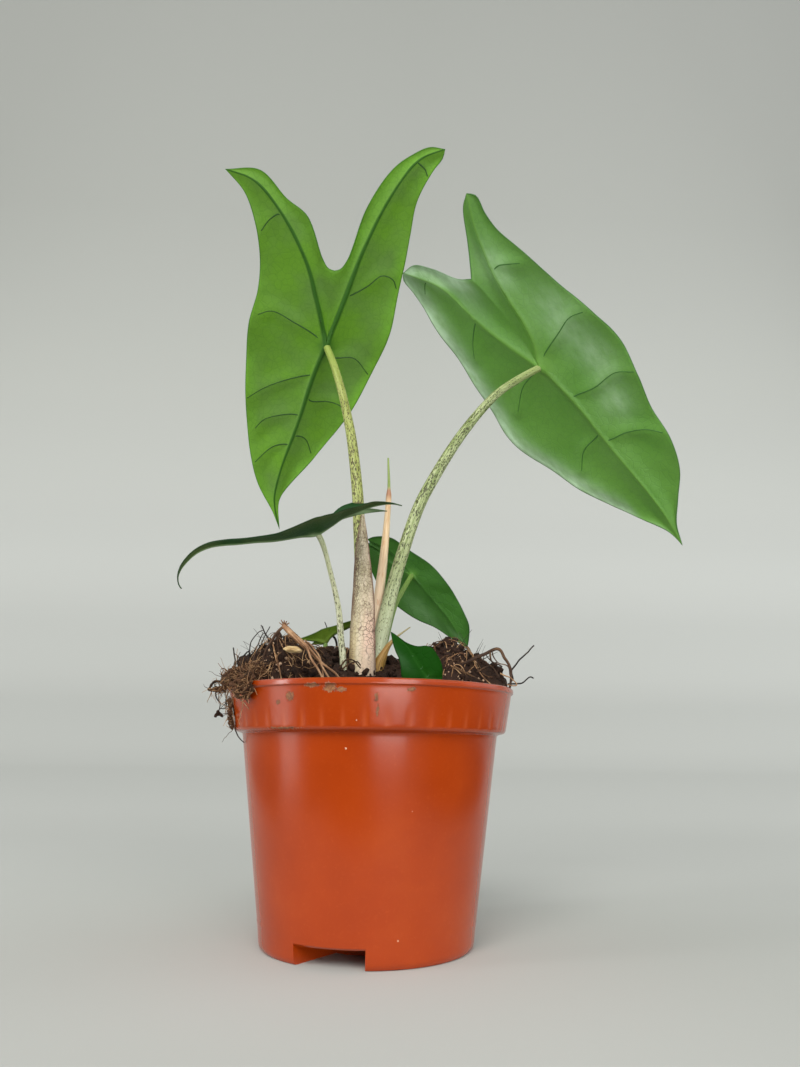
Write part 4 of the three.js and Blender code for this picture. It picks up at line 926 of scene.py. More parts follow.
LEAVES = {
    "left": dict(
        LARGE, at=(-20.6, 28, 210), azimuth=10, elevation=45, turn=0,
        midrib=[(0, 0), (-3.5, -12), (-8, -33), (-13.5, -54), (-15.2, -66), (-14.2, -72.5), (-11.9, -80)],
        ribs=[[(0, 0), (-6, 18), (-11, 31), (-22, 47.5), (-32, 56.5), (-42, 58.7)],
              [(0, 0), (4, 14), (10.4, 39), (18, 59), (26, 71.5), (34.5, 76.2)]],
        notch=[[(0, 29), (-2.4, 29.6), (-5, 33), (-12, 47), (-20, 52), (-30, 60), (-42, 58.7)],
               [(0, 29), (2.2, 29.8), (4.6, 33.8), (9.5, 53), (17, 67), (24, 73.2), (29, 76),
                (34.5, 76.2)]],
        margin=[[(-42, 58.7), (-35, 52), (-30.5, 42), (-28, 30), (-28, 18), (-30.5, 6), (-30.6, -10),
                 (-29.8, -26), (-26.5, -48), (-22, -62), (-15.6, -72.3), (-11.9, -80)],
                [(34.5, 76.2), (34.3, 73), (31.6, 68.6), (27.7, 58), (27, 45), (26, 26), (24.7, 8),
                 (20.5, -8), (11, -31), (0, -48), (-9, -60), (-13, -68), (-11.9, -80)]],
        veins=[[(-20.9, 46.1), (-22.6, 46.3), (-25.6, 43.8), (-28.2, 39.7)],
               [(-1.2, 0.6), (-4.3, 3.2), (-14.1, 7.9), (-22.1, 10.9), (-27.3, 9.2)],
               [(5.6, 19.8), (7.4, 20.6), (13.5, 24.8), (18.4, 29.2), (22.8, 28.3), (24.8, 25)],
               [(-1.2, -4.4), (4.2, -4.8), (11.8, -4.3), (18.4, -10.4)],
               [(-3.6, -12.4), (-8, -13.6), (-14.4, -16), (-22.9, -20.2), (-29.3, -24.8)],
               [(-5.4, -22.4), (-3.4, -23.6), (3.4, -23.3), (8.5, -24.6), (11.6, -27.4)],
               [(-7.3, -30.2), (-9.6, -29.8), (-15.2, -30.8), (-21.9, -33.5), (-25.3, -37.6)],
               [(-9.6, -39), (-6.4, -39), (-4.1, -40.4), (-1.4, -46.1)],
               [(-10.6, -42.8), (-13.4, -42.9), (-17.8, -44.7), (-24.3, -51.6)],
               [(25.2, 70.6), (28.4, 68.6), (29.8, 66.4)]], glow=0.75, quilt=0.95, rib_show=1.0),
    "right": dict(
        LARGE, at=(65, 28, 203), azimuth=-30, elevation=45, turn=-22,
        midrib=[(0, 0), (2.7, -20), (4.5, -45), (7.3, -70), (7.8, -81), (7.3, -91)],
        ribs=[[(0, 0), (-4, 10), (-9.8, 30), (-13, 48), (-22, 62.5)],
              [(0, 0), (4.4, 12), (7, 38), (12, 57.5), (17, 69)]],
        notch=[[(0, 44), (-5, 47), (-11.5, 56), (-17, 62), (-22, 62.5)],
               [(0, 44), (6, 55), (12.5, 66), (17, 69)]],
        margin=[[(-22, 62.5), (-24.2, 60), (-24.6, 54), (-25, 46), (-27, 30), (-28, 15), (-29, 0),
                 (-30.6, -15), (-28.4, -27.4), (-23, -40.8), (-17, -53.8), (-8.4, -68), (2, -79),
                 (5.4, -84), (7.3, -91)],
                [(17, 69), (19.3, 66), (18, 59), (17.8, 52), (21.5, 38), (24.5, 22), (29, 7), (31.2, -7),
                 (29.3, -23), (26, -38), (26, -51), (22.2, -64), (15.4, -74), (9.8, -82.4), (7.3, -91)]],
        rolled=1.7, rib_show=0.5, star=5,
        sheen=[(17, 12, 7, 15), (20, -9, 6, 10), (9, 42, 5, 10), (16, -28, 6, 8), (-6, 44, 4, 12)],
        veins=[[(7.6, 41.2), (10.4, 41.4), (13.5, 39.7), (17.5, 37.1)],
               [(0.8, 1), (4.2, 3.4), (13.5, 7), (20.3, 9.5), (26, 8.4)],
               [(2.4, -17.2), (5.6, -17.6), (12.1, -18.9), (22.3, -18.2), (28.6, -21.6)],
               [(4.2, -39.6), (7.4, -40.2), (12.1, -40.8), (19.4, -43.7), (24.6, -48.1)],
               [(-9.7, 29.6), (-11.2, 29.1), (-17, 23.7), (-20.8, 18.2)],
               [(-0.6, -0.6), (-4.2, -0.8), (-11.4, -2.8), (-19.7, -10.3)],
               [(3.8, -35.2), (1.9, -36.2), (-6.2, -38.7), (-12, -45.5)],
               [(-15.4, 54), (-17.6, 53.6), (-20.4, 50.6)]]),
    "narrow": dict(
        SMALL, at=(-18.2, -13, 121.9), azimuth=151.7, elevation=72.3, turn=-50.4,
        droop=0.0, roll=0.0, wave=0.0, quilt=0.15, bend=narrow_bend, fold=narrow_fold,
        midrib=[(0, 0), (0, -17), (0, -34), (0, -51)],
        ribs=[[(0, 0), (-2.4, 9), (-4.4, 19), (-4.6, 30.8)], [(0, 0), (1.2, 9), (2.4, 17), (4.2, 27.5)]],
        notch=[[(0, 15), (-1.4, 17.6), (-3.6, 24), (-4.2, 27.4), (-4.6, 30.8)],
               [(0, 15), (1.4, 17), (3, 22), (4.2, 27.5)]],
        margin=[[(-4.6, 30.8), (-5, 27.8), (-6.4, 24.6), (-8.6, 18), (-9.8, 10), (-11, 4), (-10.6, 0),
                 (-8.5, -4), (-6.7, -8), (-4.9, -12), (-3.8, -16), (-2.8, -20), (-2.1, -25), (-1.7, -31),
                 (-1.7, -38), (-1.4, -45), (0, -51)],
                [(4.2, 27.5), (4.2, 22), (4, 16), (4.4, 8), (5.4, 0), (5.6, -4), (5, -8), (4.3, -12),
                 (3.4, -16), (2.5, -20), (1.9, -25), (1.5, -31), (1.5, -38), (1.3, -45), (0, -51)]],
        veins=[[(0, -2), (-4, -4.4), (-6.6, -6)], [(0, -2), (3.4, -4.4), (5.4, -6)],
               [(0, -8), (-2.4, -10), (-4, -12)],
               [(0, 3), (-4, 5), (-7, 5.6)]], rib_show=0.6, glow=0.9),
    "behind": dict(
        SMALL, at=(13.8, 22, 116.3), azimuth=-25, elevation=30, turn=-38, lobe_droop=0.004,
        midrib=[(0, 0), (-1, -10), (-2, -21), (-4, -28), (-4.8, -32.7)],
        ribs=[[(0, 0), (-2.2, 6), (-3.2, 12), (-2.9, 19.6)], [(0, 0), (1.2, 7), (0.6, 14), (-1.5, 20.4)]],
        notch=[[(-2.3, 18.6), (-2.6, 19), (-2.9, 19.6)], [(-2.3, 18.6), (-2, 19.4), (-1.5, 20.4)]],
        margin=[[(-2.9, 19.6), (-5.6, 17.6), (-10.2, 12.6), (-13.4, 3.5), (-13.8, -4.5), (-11.6, -13),
                 (-9.2, -19), (-6.4, -27.5), (-4.8, -32.7)],
                [(-1.5, 20.4), (1, 19.2), (4.8, 14.8), (6, 8), (7.7, -2), (7.3, -11), (5.3, -18),
                 (3.7, -23), (2, -27), (-1.6, -30.4), (-4.8, -32.7)]],
        veins=[[(-0.4, -1), (-5, -2), (-9.6, -6), (-11.6, -11)], [(-0.9, -9), (-5, -11.4), (-8.8, -17)],
               [(-1.6, -17), (-4.6, -20), (-6.6, -25)], [(0, -4.6), (3, -7), (6.1, -10.7)],
               [(-1.3, -13), (1.4, -15.4), (3.6, -20)], [(-2.4, 6), (-6, 5.6), (-10.4, 2)],
               [(1.2, 7), (3, 5.6), (5.4, 1.4)]], rib_show=0.0, rib_tall=0.22,
        sheen=[(-8, -12, 3.2, 9), (-4.6, -27, 1, 4)]),
    "front": dict(
        SMALL, at=(17.2, -22, 75.6), azimuth=190, elevation=-10, turn=-136.5, crease=0.15,
        rib_rows=22, mid_rows=56, rib_share=3 / 11,
        midrib=[(0, 0), (0.3, -6), (1.2, -12), (0.2, -18.1)],
        ribs=[[(0, 0), (-2, 2), (-4.5, 3.5)], [(0, 0), (1.6, 1.2), (3, 2.2)]],
        notch=[[(0, 2.2), (-2.2, 3.6), (-4.5, 3.5)], [(0, 2.2), (1.5, 2.8), (3, 2.2)]],
        margin=[[(-4.5, 3.5), (-6.2, 0.5), (-6.6, -3.5), (-5.8, -6.6), (-4.4, -8.4), (-3.2, -10.6),
                 (-2.5, -13), (-1.4, -15.6), (0.2, -18.1)],
                [(3, 2.2), (4.5, 0.4), (5.6, -1.5), (6.2, -4), (6.4, -6.2), (5.6, -8), (3.4, -9.8),
                 (2, -12), (0.9, -15.2), (0.2, -18.1)]],
        rib_show=0.2, sheen=[(-3, -11, 1.6, 5)],
        veins=[[(0, -1), (-3, -2), (-5.6, -4.6)], [(0.1, -4), (-2.4, -5.4), (-4.8, -8)],
               [(0.6, -8.4), (-1.4, -10.4), (-2.2, -12)],
               [(0, -1), (3, -2), (5.6, -4.6)], [(0.2, -4), (2.4, -5.4), (4.2, -8)]]),
    "low": dict(
        SMALL, at=(-16.1, 14, 90.6), azimuth=29, elevation=48, turn=-118, roll=0.0,
        rib_rows=20, mid_rows=44, outer=18, inner=12, rib_share=3 / 9,
        midrib=[(0, 0), (2.6, -2.5), (3.8, -6), (4.8, -10), (5.8, -14)],
        ribs=[[(0, 0), (0.5, 2.2), (1.2, 4.4)], [(0, 0), (2.4, 3.6), (5, 8.8)]],
        notch=[[(1.8, 2.8), (1.5, 3.6), (1.2, 4.4)], [(1.8, 2.8), (3, 5), (5, 8.8)]],
        margin=[[(1.2, 4.4), (0.2, 2.6), (0, 0), (1.4, -3.2), (2.6, -7), (4, -11), (5.8, -14)],
                [(5, 8.8), (5.1, 4.5), (5.4, 0), (5.9, -5), (6.3, -10), (5.8, -14)]],
        rib_show=0.2,
        veins=[[(2.6, -2.5), (4.4, -2), (5.8, -3.6)], [(1.6, -1.4), (3.6, 1), (5.2, 1)]]),
}
print("leaves:", *LEAVES)

# %% [markdown]
# The frame of a leaf is three directions at its joint: out of the underside, across, and up to the
# notch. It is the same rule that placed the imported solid, so the fine blade lies in that solid.

# %% Leaf frames and nets


def leaf_frame(leaf):
    """under = (sin a cos e, -cos a cos e, -sin e). slope is straight up made square to under, and
    turn leans slope and side = slope x under in the blade's plane."""
    a, e, lean = (math.radians(leaf[key]) for key in ("azimuth", "elevation", "turn"))
    under = np.array([math.sin(a) * math.cos(e), -math.cos(a) * math.cos(e), -math.sin(e)])
    slope = unit(np.array([0, 0, 1.0]) - under[2] * under)
    side = np.cross(slope, under)
    across = side * math.cos(lean) - slope * math.sin(lean)
    up = slope * math.cos(lean) + side * math.sin(lean)
    return under, across, up


def nearest(places, lines, samples=40):
    """For each flat place: the distance to the nearest of some lines, and how far along it (0 to 1)
    the nearest spot is. A spot is p + t d on a segment, with t held between 0 and 1."""
    t = np.linspace(0, 1, samples)
    runs = [smooth_line(line, t)[:, :2] for line in lines]
    start = np.vstack([run[:-1] for run in runs])
    step = np.vstack([np.diff(run, axis=0) for run in runs])
    begin = np.tile(t[:-1], len(runs))
    best, along = np.full(len(places), 1e9), np.zeros(len(places))
    for part in np.array_split(np.arange(len(places)), max(1, len(places) * len(start) // 3000000)):
        offset = places[part, None] - start[None]
        share = np.clip((offset * step).sum(-1) / (step**2).sum(-1), 0, 1)
        gap = np.linalg.norm(offset - share[..., None] * step, axis=-1)
        pick = gap.argmin(1)
        rows = np.arange(len(part))
        best[part] = gap[rows, pick]
        along[part] = begin[pick] + share[rows, pick] / (samples - 1)
    return best, along


def half_nets(leaf, side):
    """Two grids of flat places for one half. Outer rows start on the lobe's rib and go on down the
    midrib, and end on the margin at (i / rows)^lean of its length. Inner rows cross to the notch.
    Columns stand at s = t^1.35 of a row, so they are closest near the rib."""
    rows = leaf["rib_rows"]
    rib = smooth_line(leaf["ribs"][side], np.linspace(0, 1, rows + 1))[:, :2]
    mid = smooth_line(leaf["midrib"], np.linspace(0, 1, leaf["mid_rows"] + 1))[:, :2]
    spine = np.vstack([rib[::-1], mid[1:]])
    share = leaf["rib_share"]
    at = np.concatenate([np.linspace(0, share, rows + 1), np.linspace(share, 1, leaf["mid_rows"] + 1)[1:]])
    margin = smooth_line(leaf["margin"][side], at ** leaf["lean"])[:, :2]
    notch = smooth_line(leaf["notch"][side], np.linspace(0, 1, rows + 1))[:, :2]
    for start, end, columns, waved in ((spine, margin, leaf["outer"], 1), (rib, notch, leaf["inner"], 0)):
        s = (np.linspace(0, 1, columns + 1) ** 1.35)[None, :, None]
        flat = start[:, None] * (1 - s) + end[:, None] * s
        span = np.linalg.norm(end - start, axis=1)[:, None]
        s = np.broadcast_to(s[..., 0], flat.shape[:2])
        phase = leaf["waves"] * (flat[..., 1] + 31 * side)
        wave = waved * leaf["wave"] * np.minimum(span / 6, 1) * np.sin(phase) * s**3
        yield flat, s, span * s, wave


def flat_blade(leaf):
    """All four nets of a leaf side by side: flat places, shares, distances from the rib, waves and
    faces. The nets of side 1 turn the other way round, so their faces are reversed."""
    parts, quads, start = [], [], 0
    for side in (0, 1):
        for flat, s, length, wave in half_nets(leaf, side):
            faces = grid_faces(*s.shape) + start
            quads.append(faces[:, ::-1] if side else faces)
            start += s.size
            parts.append([flat.reshape(-1, 2), s.ravel(), length.ravel(), wave.ravel()])
    flat, s, length, wave = (np.concatenate(column) for column in zip(*parts))
    return flat, s, length, wave, np.vstack(quads)


print("faces of the low leaf's nets:", len(flat_blade(LEAVES["low"])[-1]))

# %% [markdown]
# Lifting a flat leaf into its bent form is a sum of simple terms: the droop to the tip, the crease
# along the rib, the roll of the margin, the swelling between veins, and the wave along the edge.
# The blade gets its thickness afterwards: each face moves out along the normals. That keeps both
# faces parallel, which a Solidify modifier also would, but here the ribs can stand out as well.

# %% The middle surface of a blade


def middle_surface(leaf):
    """height = droop v^2 - crease (sqrt(d^2 + 0.9^2) - 0.9) + roll d^2 - quilt (1 - exp(-(w/3.2)^2))
    4 s (1 - s) + wave - rolled exp(-(e/3.2)^2) on half 0, with d the distance from the rib, w that
    from any vein and e that from the margin, and a little noise on top. Returns points, face blocks,
    unit normals on the underside, and the fields of the welded surface."""
    under, across, up = leaf_frame(leaf)
    flat, s, d, wave, quads = flat_blade(leaf)
    u, v = flat.T
    rib, along = nearest(flat, [leaf["midrib"], *leaf["ribs"]])
    vein, _ = nearest(flat, leaf["veins"], 16)
    edge, _ = nearest(flat, [*leaf["margin"], *leaf["notch"]], 90)
    droop = np.where(v < 0, leaf["droop"], leaf["lobe_droop"]) * v**2
    crease = leaf["fold"](v) if "fold" in leaf else leaf["crease"]
    swell = (1 - np.exp(-((np.minimum(vein, rib) / 3.2) ** 2))) * 4 * s * (1 - s)
    height = droop - crease * (np.hypot(d, 0.9) - 0.9) + leaf["roll"] * d**2 - leaf["quilt"] * swell + wave
    half_0 = soft_step(-u, 0, 8) * soft_step(-v, -40, -20)
    height = height - leaf["rolled"] * np.exp(-((edge / 3.2) ** 2)) * half_0
    height = height + 0.26 * rough(np.column_stack([flat, 0 * u]), 7, 2) * np.minimum(d, 1)
    reach, lift = leaf["bend"](u, v) if "bend" in leaf else (v, 0 * v)
    points = u[:, None] * across + reach[:, None] * up + (height + lift)[:, None] * under
    fields = {"rib": rib, "edge": edge, "along": along, "u": u, "v": v}
    points, blocks, fields = weld(points + np.array(leaf["at"]), quads, fields)
    normal = np.zeros_like(points)
    for block in blocks:
        a, b, c, d = (points[block[:, k]] for k in (0, 1, 2, -1))
        np.add.at(normal, block.ravel(), np.repeat(np.cross(c - a, d - b), block.shape[1], axis=0))
    normal = unit(normal)
    return points, blocks, normal * np.sign((normal @ under).mean()), fields


# %% [markdown]
# The side veins are far finer than the net, so drawing them on it would give ragged lines. They are
# thin cords of their own instead, laid in the blade so that they stand out of the underside. The
# place of a vein's point on the bent blade is read from the nearest dozen points of the net.

# %% Blades and their veins


def on_surface(queries, flat, values):
    """Values at flat places, from the 12 nearest known ones, by a straight fit: weighted least
    squares of values against (1, u, v), which is a 3 x 3 system at each place. Known ones are first
    thinned to one in every square of 0.7 mm, because rows bunched on one line would tip the fit."""
    keep = np.unique(np.round(flat / 0.7), axis=0, return_index=True)[1]
    flat, values = flat[keep], values[keep]
    offset = flat[None] - queries[:, None]
    gap = np.linalg.norm(offset, axis=-1)
    near = np.argpartition(gap, 12, axis=1)[:, :12]
    rows = np.arange(len(queries))[:, None]
    weight = 1 / (gap[rows, near] ** 2 + 0.05)
    basis = np.concatenate([np.ones((*near.shape, 1)), offset[rows, near]], -1)
    left = np.einsum("nk,nki,nkj->nij", weight, basis, basis) + 1e-9 * np.eye(3)
    right = np.einsum("nk,nki,nkj->nij", weight, basis, values[near])
    return np.linalg.solve(left, right)[:, 0]


def blade(name, leaf, finish, vein_finish, node, slot):
    """Underside = middle + (half + rib ridge + hub) n, upper side = middle - (half - groove) n, and
    a strip of faces closes the margin. A rib's ridge is a bell across it that fades along it. The
    field sheen is a painted sheen: pale bells (u, v, half widths), and a painted highlight stripe
    along the curled margin of half 0."""
    points, blocks, normal, f = middle_surface(leaf)
    hub = leaf["hub"] * np.exp(-(f["u"] ** 2 + f["v"] ** 2) / 9)
    wide = leaf["rib_wide"] * (1 - 0.55 * f["along"])
    ridge = leaf["rib_tall"] * (1 - 0.8 * f["along"]) * np.exp(-((f["rib"] / wide) ** 2))
    bead = 0.07 * np.exp(-((f["edge"] / 0.5) ** 2))
    half = leaf["thick"] * (0.55 + 0.45 * soft_step(f["edge"], 0, 5)) + bead
    below = points + (half + ridge + hub)[:, None] * normal
    above = points - (half - 0.35 * ridge)[:, None] * normal
    count = len(points)
    sides = np.vstack([np.stack([b, np.roll(b, -1, axis=1)], -1).reshape(-1, 2) for b in blocks])
    _, back, seen = np.unique(np.sort(sides, axis=1), axis=0, return_inverse=True, return_counts=True)
    rim = sides[seen[back.ravel()] == 1]
    strip = np.stack([rim[:, 1], rim[:, 0], rim[:, 0] + count, rim[:, 1] + count], -1)
    faces = [*blocks, *[block[:, ::-1] + count for block in blocks], strip]
    fields = {key: np.tile(f[key], 2) for key in ("rib", "edge", "along")}
    fields["underside"] = np.repeat([1.0, 0.0], count)
    # Painted highlight along the curled margin of half 0, and painted sheen patches, in the field sheen.
    pale = 0.8 * leaf["rolled"] * np.exp(-((f["edge"] / 4.5) ** 2)) * soft_step(-f["u"], 0, 8)
    for u, v, wide_u, wide_v in leaf["sheen"]:
        pale = pale + 0.55 * np.exp(-(((f["u"] - u) / wide_u) ** 2) - ((f["v"] - v) / wide_v) ** 2)
    fields["sheen"] = np.tile(pale, 2)
    fields["glow"] = np.full(2 * count, leaf["glow"])
    fields["hub"] = np.tile(np.exp(-(f["u"] ** 2 + f["v"] ** 2) / leaf["star"] ** 2), 2)
    fields["rib_show"] = np.full(2 * count, leaf["rib_show"])
    fields["flat"] = np.tile(np.column_stack([f["u"], f["v"], 0 * f["u"]]) * MM, (2, 1))
    add_mesh(name, np.vstack([below, above]), faces, finish, fields=fields, stands_for=(node,), slot=slot)

    t = np.linspace(0, 1, 40)
    lines = np.stack([smooth_line(line, t)[:, :2] for line in leaf["veins"]])
    flat = np.column_stack([f["u"], f["v"]])
    place = on_surface(lines.reshape(-1, 2), flat, np.hstack([points, normal]))
    path = (place[:, :3] + leaf["vein_out"] * unit(place[:, 3:])).reshape(*lines.shape[:2], 3)
    thick = leaf["vein_thick"] * (1 - 0.42 * t) * np.ones((len(lines), 1))
    add_mesh("veins_of_" + name, *tubes(path, thick, 6)[:2], vein_finish, slot=slot)


# %% [markdown]
# A blade is two surfaces at once: a dull, paler underside and a glossier upper side. Light that
# comes through near the margin, where the blade is thin, is painted on as a yellower glow there.
# A fine net of small veins is only colour and bump. All of it follows the fields worked out above.

# %% The finishes of the blades


def blade_finish(name, gloss_level, under, under_far, glow, rib, upper, rim, pale):
    """The underside runs from under to under_far by patches, and to glow near the margin, a painted
    glow of light coming through. The upper side is upper. Over both lie the net, the painted sheen in
    pale, the ribs and a thin line at the rim."""
    finish = Finish(name, Specular_IOR_Level=gloss_level)
    where = finish.place()
    patch = finish.noise(where, 17, detail=3)
    grit = finish.noise(where, 0.45, detail=4, roughness=0.7)
    net = finish.cells(where, 2.6, "DISTANCE_TO_EDGE").below(0.02, 0.06)
    edge, spine = finish.field("edge") + patch * 6 - 3, finish.field("rib")
    thin = 1 - finish.field("along") * 0.75
    # Painted glow: light coming through the thin margin is painted as the colour glow.
    lit = edge.below(0.5, 5.5) * patch.above(0.42, 0.2) * finish.field("glow")
    below = finish.mix(lit, finish.ramp(patch, (0.36, under), (0.64, under_far)), glow)
    above = finish.mix(patch.above(0.4, 0.3) * 0.3, upper, under)
    streak = finish.noise(finish.field("flat", out="Vector"), 3, detail=4, by=(1, 0.4, 1))
    colour = finish.painted(
        finish.mix(finish.field("underside"), above, below),
        (net * 0.13 + grit.below(0.4, 0.12) * 0.1, rim),
        # Painted sheen and highlight: the field sheen mixes in the colour pale.
        ((finish.field("sheen") * (streak * 0.9 + 0.05)).clip(), pale),
        ((spine / thin).below(0.5, 0.75) * finish.field("rib_show"), rib),
        (finish.field("hub") * 0.8, rib),
        (finish.field("edge").below(0.08, 0.32) * 0.65, rim))
    gloss = 0.4 + patch * 0.14 + grit * 0.08
    relief = (grit * 0.25 - net * 0.5) * finish.field("edge").above(0.4, 1.6)
    return finish.done(colour, gloss, relief + patch * 2, depth=0.12, strength=0.6)


def vein_finish(name, dark, pale):
    """Two greens mixed by a noise."""
    finish = Finish(name, Specular_IOR_Level=0.4)
    shade = finish.noise(finish.place(), 3, detail=2)
    return finish.done(finish.mix(shade, dark, pale), 0.45 + shade * 0.1)


dark_vein = vein_finish("dark_vein", hue(36, 76, 20), hue(46, 90, 28))
soft_vein = vein_finish("soft_vein", hue(50, 98, 34), hue(62, 112, 42))
small_vein = vein_finish("small_leaf_vein", hue(28, 74, 22), hue(44, 94, 30))

# Each leaf: finish, gloss, veins, slot, and its colours in the order that blade_finish takes them
BLADES = {
    "left": ("left_blade_green", 0.25, dark_vein, "large_blade", (104, 155, 40), (100, 142, 58),
             (120, 184, 40), (50, 98, 22), (52, 104, 34), (50, 104, 28), (150, 178, 112)),
    "right": ("right_blade_green", 0.5, soft_vein, "large_blade", (96, 148, 54), (88, 142, 46),
              (104, 156, 60), (100, 150, 48), (48, 98, 38), (52, 98, 44), (196, 226, 190)),
    "narrow": ("narrow_blade_green", 0.18, small_vein, "small_blade", (26, 68, 24), (46, 86, 34),
               (84, 98, 56), (150, 176, 128), (20, 58, 18), (20, 46, 20), (110, 130, 100)),
    "behind": ("back_blade_green", 0.3, small_vein, "small_blade", (50, 98, 28), (62, 112, 38),
               (46, 90, 30), (104, 158, 56), (40, 84, 32), (26, 68, 26), (140, 182, 130)),
    "front": ("front_blade_green", 0.04, small_vein, "small_blade", (20, 68, 8), (32, 86, 14),
              (22, 66, 14), (48, 98, 34), (20, 68, 8), (18, 52, 12), (84, 116, 84)),
    "low": ("low_blade_green", 0.3, small_vein, "small_blade", (98, 130, 34), (112, 142, 44),
            (104, 136, 40), (130, 156, 64), (96, 130, 36), (50, 78, 26), (110, 140, 80)),
}
for key, (label, gloss, vein, slot, *colours) in BLADES.items():
    skin = blade_finish(label, gloss, *[hue(*colour) for colour in colours])
    blade("blade_" + key, LEAVES[key], skin, vein, "leaf_" + key, slot)

# %% [markdown]
# ## The stalks
# A leaf stalk is a fleshy rod, thick at the foot and thin under the blade, pale green with dark
# dashes that lie along it. It is one tube. Near the blade its rings are tilted step by step until
# they lie flat in the blade, so that the joint is smooth.

# %% Stalk paths
FOOT = 61.4
STALKS = {
    "left": dict(
        node="petiole_left",
        path=[(-4, 1, FOOT), (-3.3, 0.5, 78), (-3.3, 0.5, 90), (-4, 1.2, 110), (-5.2, 1.8, 128),
              (-6, 2.5, 139.8), (-8.7, 8, 162), (-11.3, 13, 176), (-14, 18, 188), (-17.3, 23, 200)],
        radii=[2.8, 3.2, 2.6, 2.1, 2, 1.9, 1.75, 1.6, 1.45, 1.35],
        speckle=[0.2, 0.35, 0.7, 0.95, 1, 1, 0.95, 0.75, 0.45, 0.1]),
    "right": dict(
        node="petiole_right",
        path=[(0.8, 4.5, FOOT), (0.6, 5.2, 72), (1, 5.4, 80), (2.5, 4.6, 90), (6.4, 3.3, 107.5),
              (8.9, 3.2, 117), (14.9, 5.3, 136), (19.3, 7.4, 145.7), (31.2, 12.6, 167),
              (45.1, 19.4, 186.2), (54.4, 23.1, 194.7)],
        radii=[2.6, 2.6, 2.4, 2.15, 2.05, 2, 1.85, 1.65, 1.5, 1.4],
        speckle=[0.1, 0.3, 0.6, 0.8, 0.95, 1, 1, 0.9, 0.7, 0.3]),
    "narrow": dict(
        node="petiole_narrow",
        path=[(-8.5, -3.5, FOOT), (-8.8, -5.4, 75), (-9.2, -6, 83.4), (-9.9, -6.5, 89), (-10.8, -7.3, 97.6),
              (-12.2, -8.2, 104.1), (-13.9, -9.6, 110.3), (-15.7, -11.1, 116.6), (-17, -12, 119.9)],
        radii=[1.1, 1.1, 1.08, 1.05, 1, 0.9, 0.8, 0.75, 1.0],
        speckle=[0.4, 0.8, 1, 0.9, 0.6, 0.3]),
    "behind": dict(
        node="petiole_behind",
        path=[(3.5, 10.5, FOOT), (3, 11.5, 84.5), (4.7, 13, 91.5), (6.3, 15, 98.7), (8, 17, 104.7),
              (10, 18.6, 109)],
        radii=[0.95, 0.95, 0.9, 0.85, 0.85], speckle=[0.1, 0.2, 0.2]),
    "front": dict(
        node="petiole_front",
        path=[(5, -2.5, FOOT), (8, -7, 66), (12.5, -13, 69.5), (16.4, -18.5, 73)],
        radii=[0.9, 0.9, 0.85], speckle=[0.1, 0.2, 0.1]),
    "low": dict(
        node="petiole_low", path=[(-8, 7, FOOT), (-11.5, 10, 72), (-15, 12.5, 83)],
        radii=[0.9, 0.85, 0.8], speckle=[0.1, 0.2, 0.1]),
}


def add_stalk(name, stalk_of, leaf, finish):
    """A tube whose last rings slide along their line by -(p - c) . n / (t . n), more and more, so
    that the end lies in the plane of the blade with normal n."""
    under = leaf_frame(leaf)[0]
    joint = np.array(leaf["at"]) + 0.1 * under
    steps, sides = (170, 28) if stalk_of["radii"][0] > 2 else (90, 18)
    t = np.linspace(0, 1, steps)
    line = smooth_line([*stalk_of["path"], joint], t)
    width = taper(stalk_of["radii"], t) * (1 + 0.12 * soft_step(t, 0.985, 1) + 0.012 * rough(line, 9, 2))
    points, faces, fields = tubes(line[None], width[None], sides)
    rings = points.reshape(steps, sides, 3)
    tangent = unit(np.gradient(line, axis=0))[:, None]
    slide = -((rings - line[:, None]) @ under)[..., None] / (tangent @ under)[..., None]
    late = soft_step(np.arange(steps), steps - 12, steps - 2)[:, None, None]
    rings = rings + np.clip(slide, -4, 4) * tangent * late
    share = np.interp(t, np.linspace(0, 1, len(stalk_of["speckle"])), stalk_of["speckle"])
    fields["speckle"] = np.repeat(share, sides)
    fields["rise"] = np.repeat(t, sides)
    return add_mesh(name, rings.reshape(-1, 3), faces, finish, fields=fields,
                    stands_for=(stalk_of["node"],), slot="stalk")


print("stalks:", *STALKS)

# %% [markdown]
# The dashes are cells of a pattern that is stretched along the stalk: each dash is the middle of a
# cell, and a field says how many of them are dark at each height. Between them the skin has
# faint lengthwise streaks, and it grows whiter to the foot.

# %% The finish of the stalks


def stalk_finish(name, skin, streak, dash, foot, top):
    """A skin with lengthwise streaks, a colour at the foot and one at the top, and the dashes: a
    cell's distance value, minus a little noise, is compared with the amount wanted there."""
    finish = Finish(name, Specular_IOR_Level=0.45)
    grain = finish.field("grain", out="Vector")
    rise = finish.field("rise")
    streaks = finish.noise(grain, 0.55, detail=3, by=(1, 1, 0.05))
    clump = finish.noise(grain, 2.2, detail=2, by=(1, 1, 0.5))
    long_cells = finish.stretched(grain, (1, 1, 0.34))
    mark = finish.cells(long_cells, 0.5) + finish.noise(long_cells, 0.4, detail=2) * 0.2
    fine = finish.cells(finish.stretched(grain, (1, 1, 0.4)), 0.32)
    amount = finish.field("speckle") * (clump * 1.3 + 0.35)
    dashes = (amount * 0.38 - mark + 0.16).above(0, 0.06) + (amount * 0.33 - fine).above(0, 0.06) * 0.75
    dashes = dashes.clip()
    colour = finish.painted(skin, (streaks.above(0.44, 0.14) * 0.85, streak), (rise.below(0.04, 0.3), foot),
                            (rise.above(0.8, 0.2) * 0.7, top), (dashes * 0.92, dash))
    relief = streaks * 0.6 - dashes * 0.3
    return finish.done(colour, 0.4 + streaks * 0.15, relief, depth=0.12, strength=0.5)


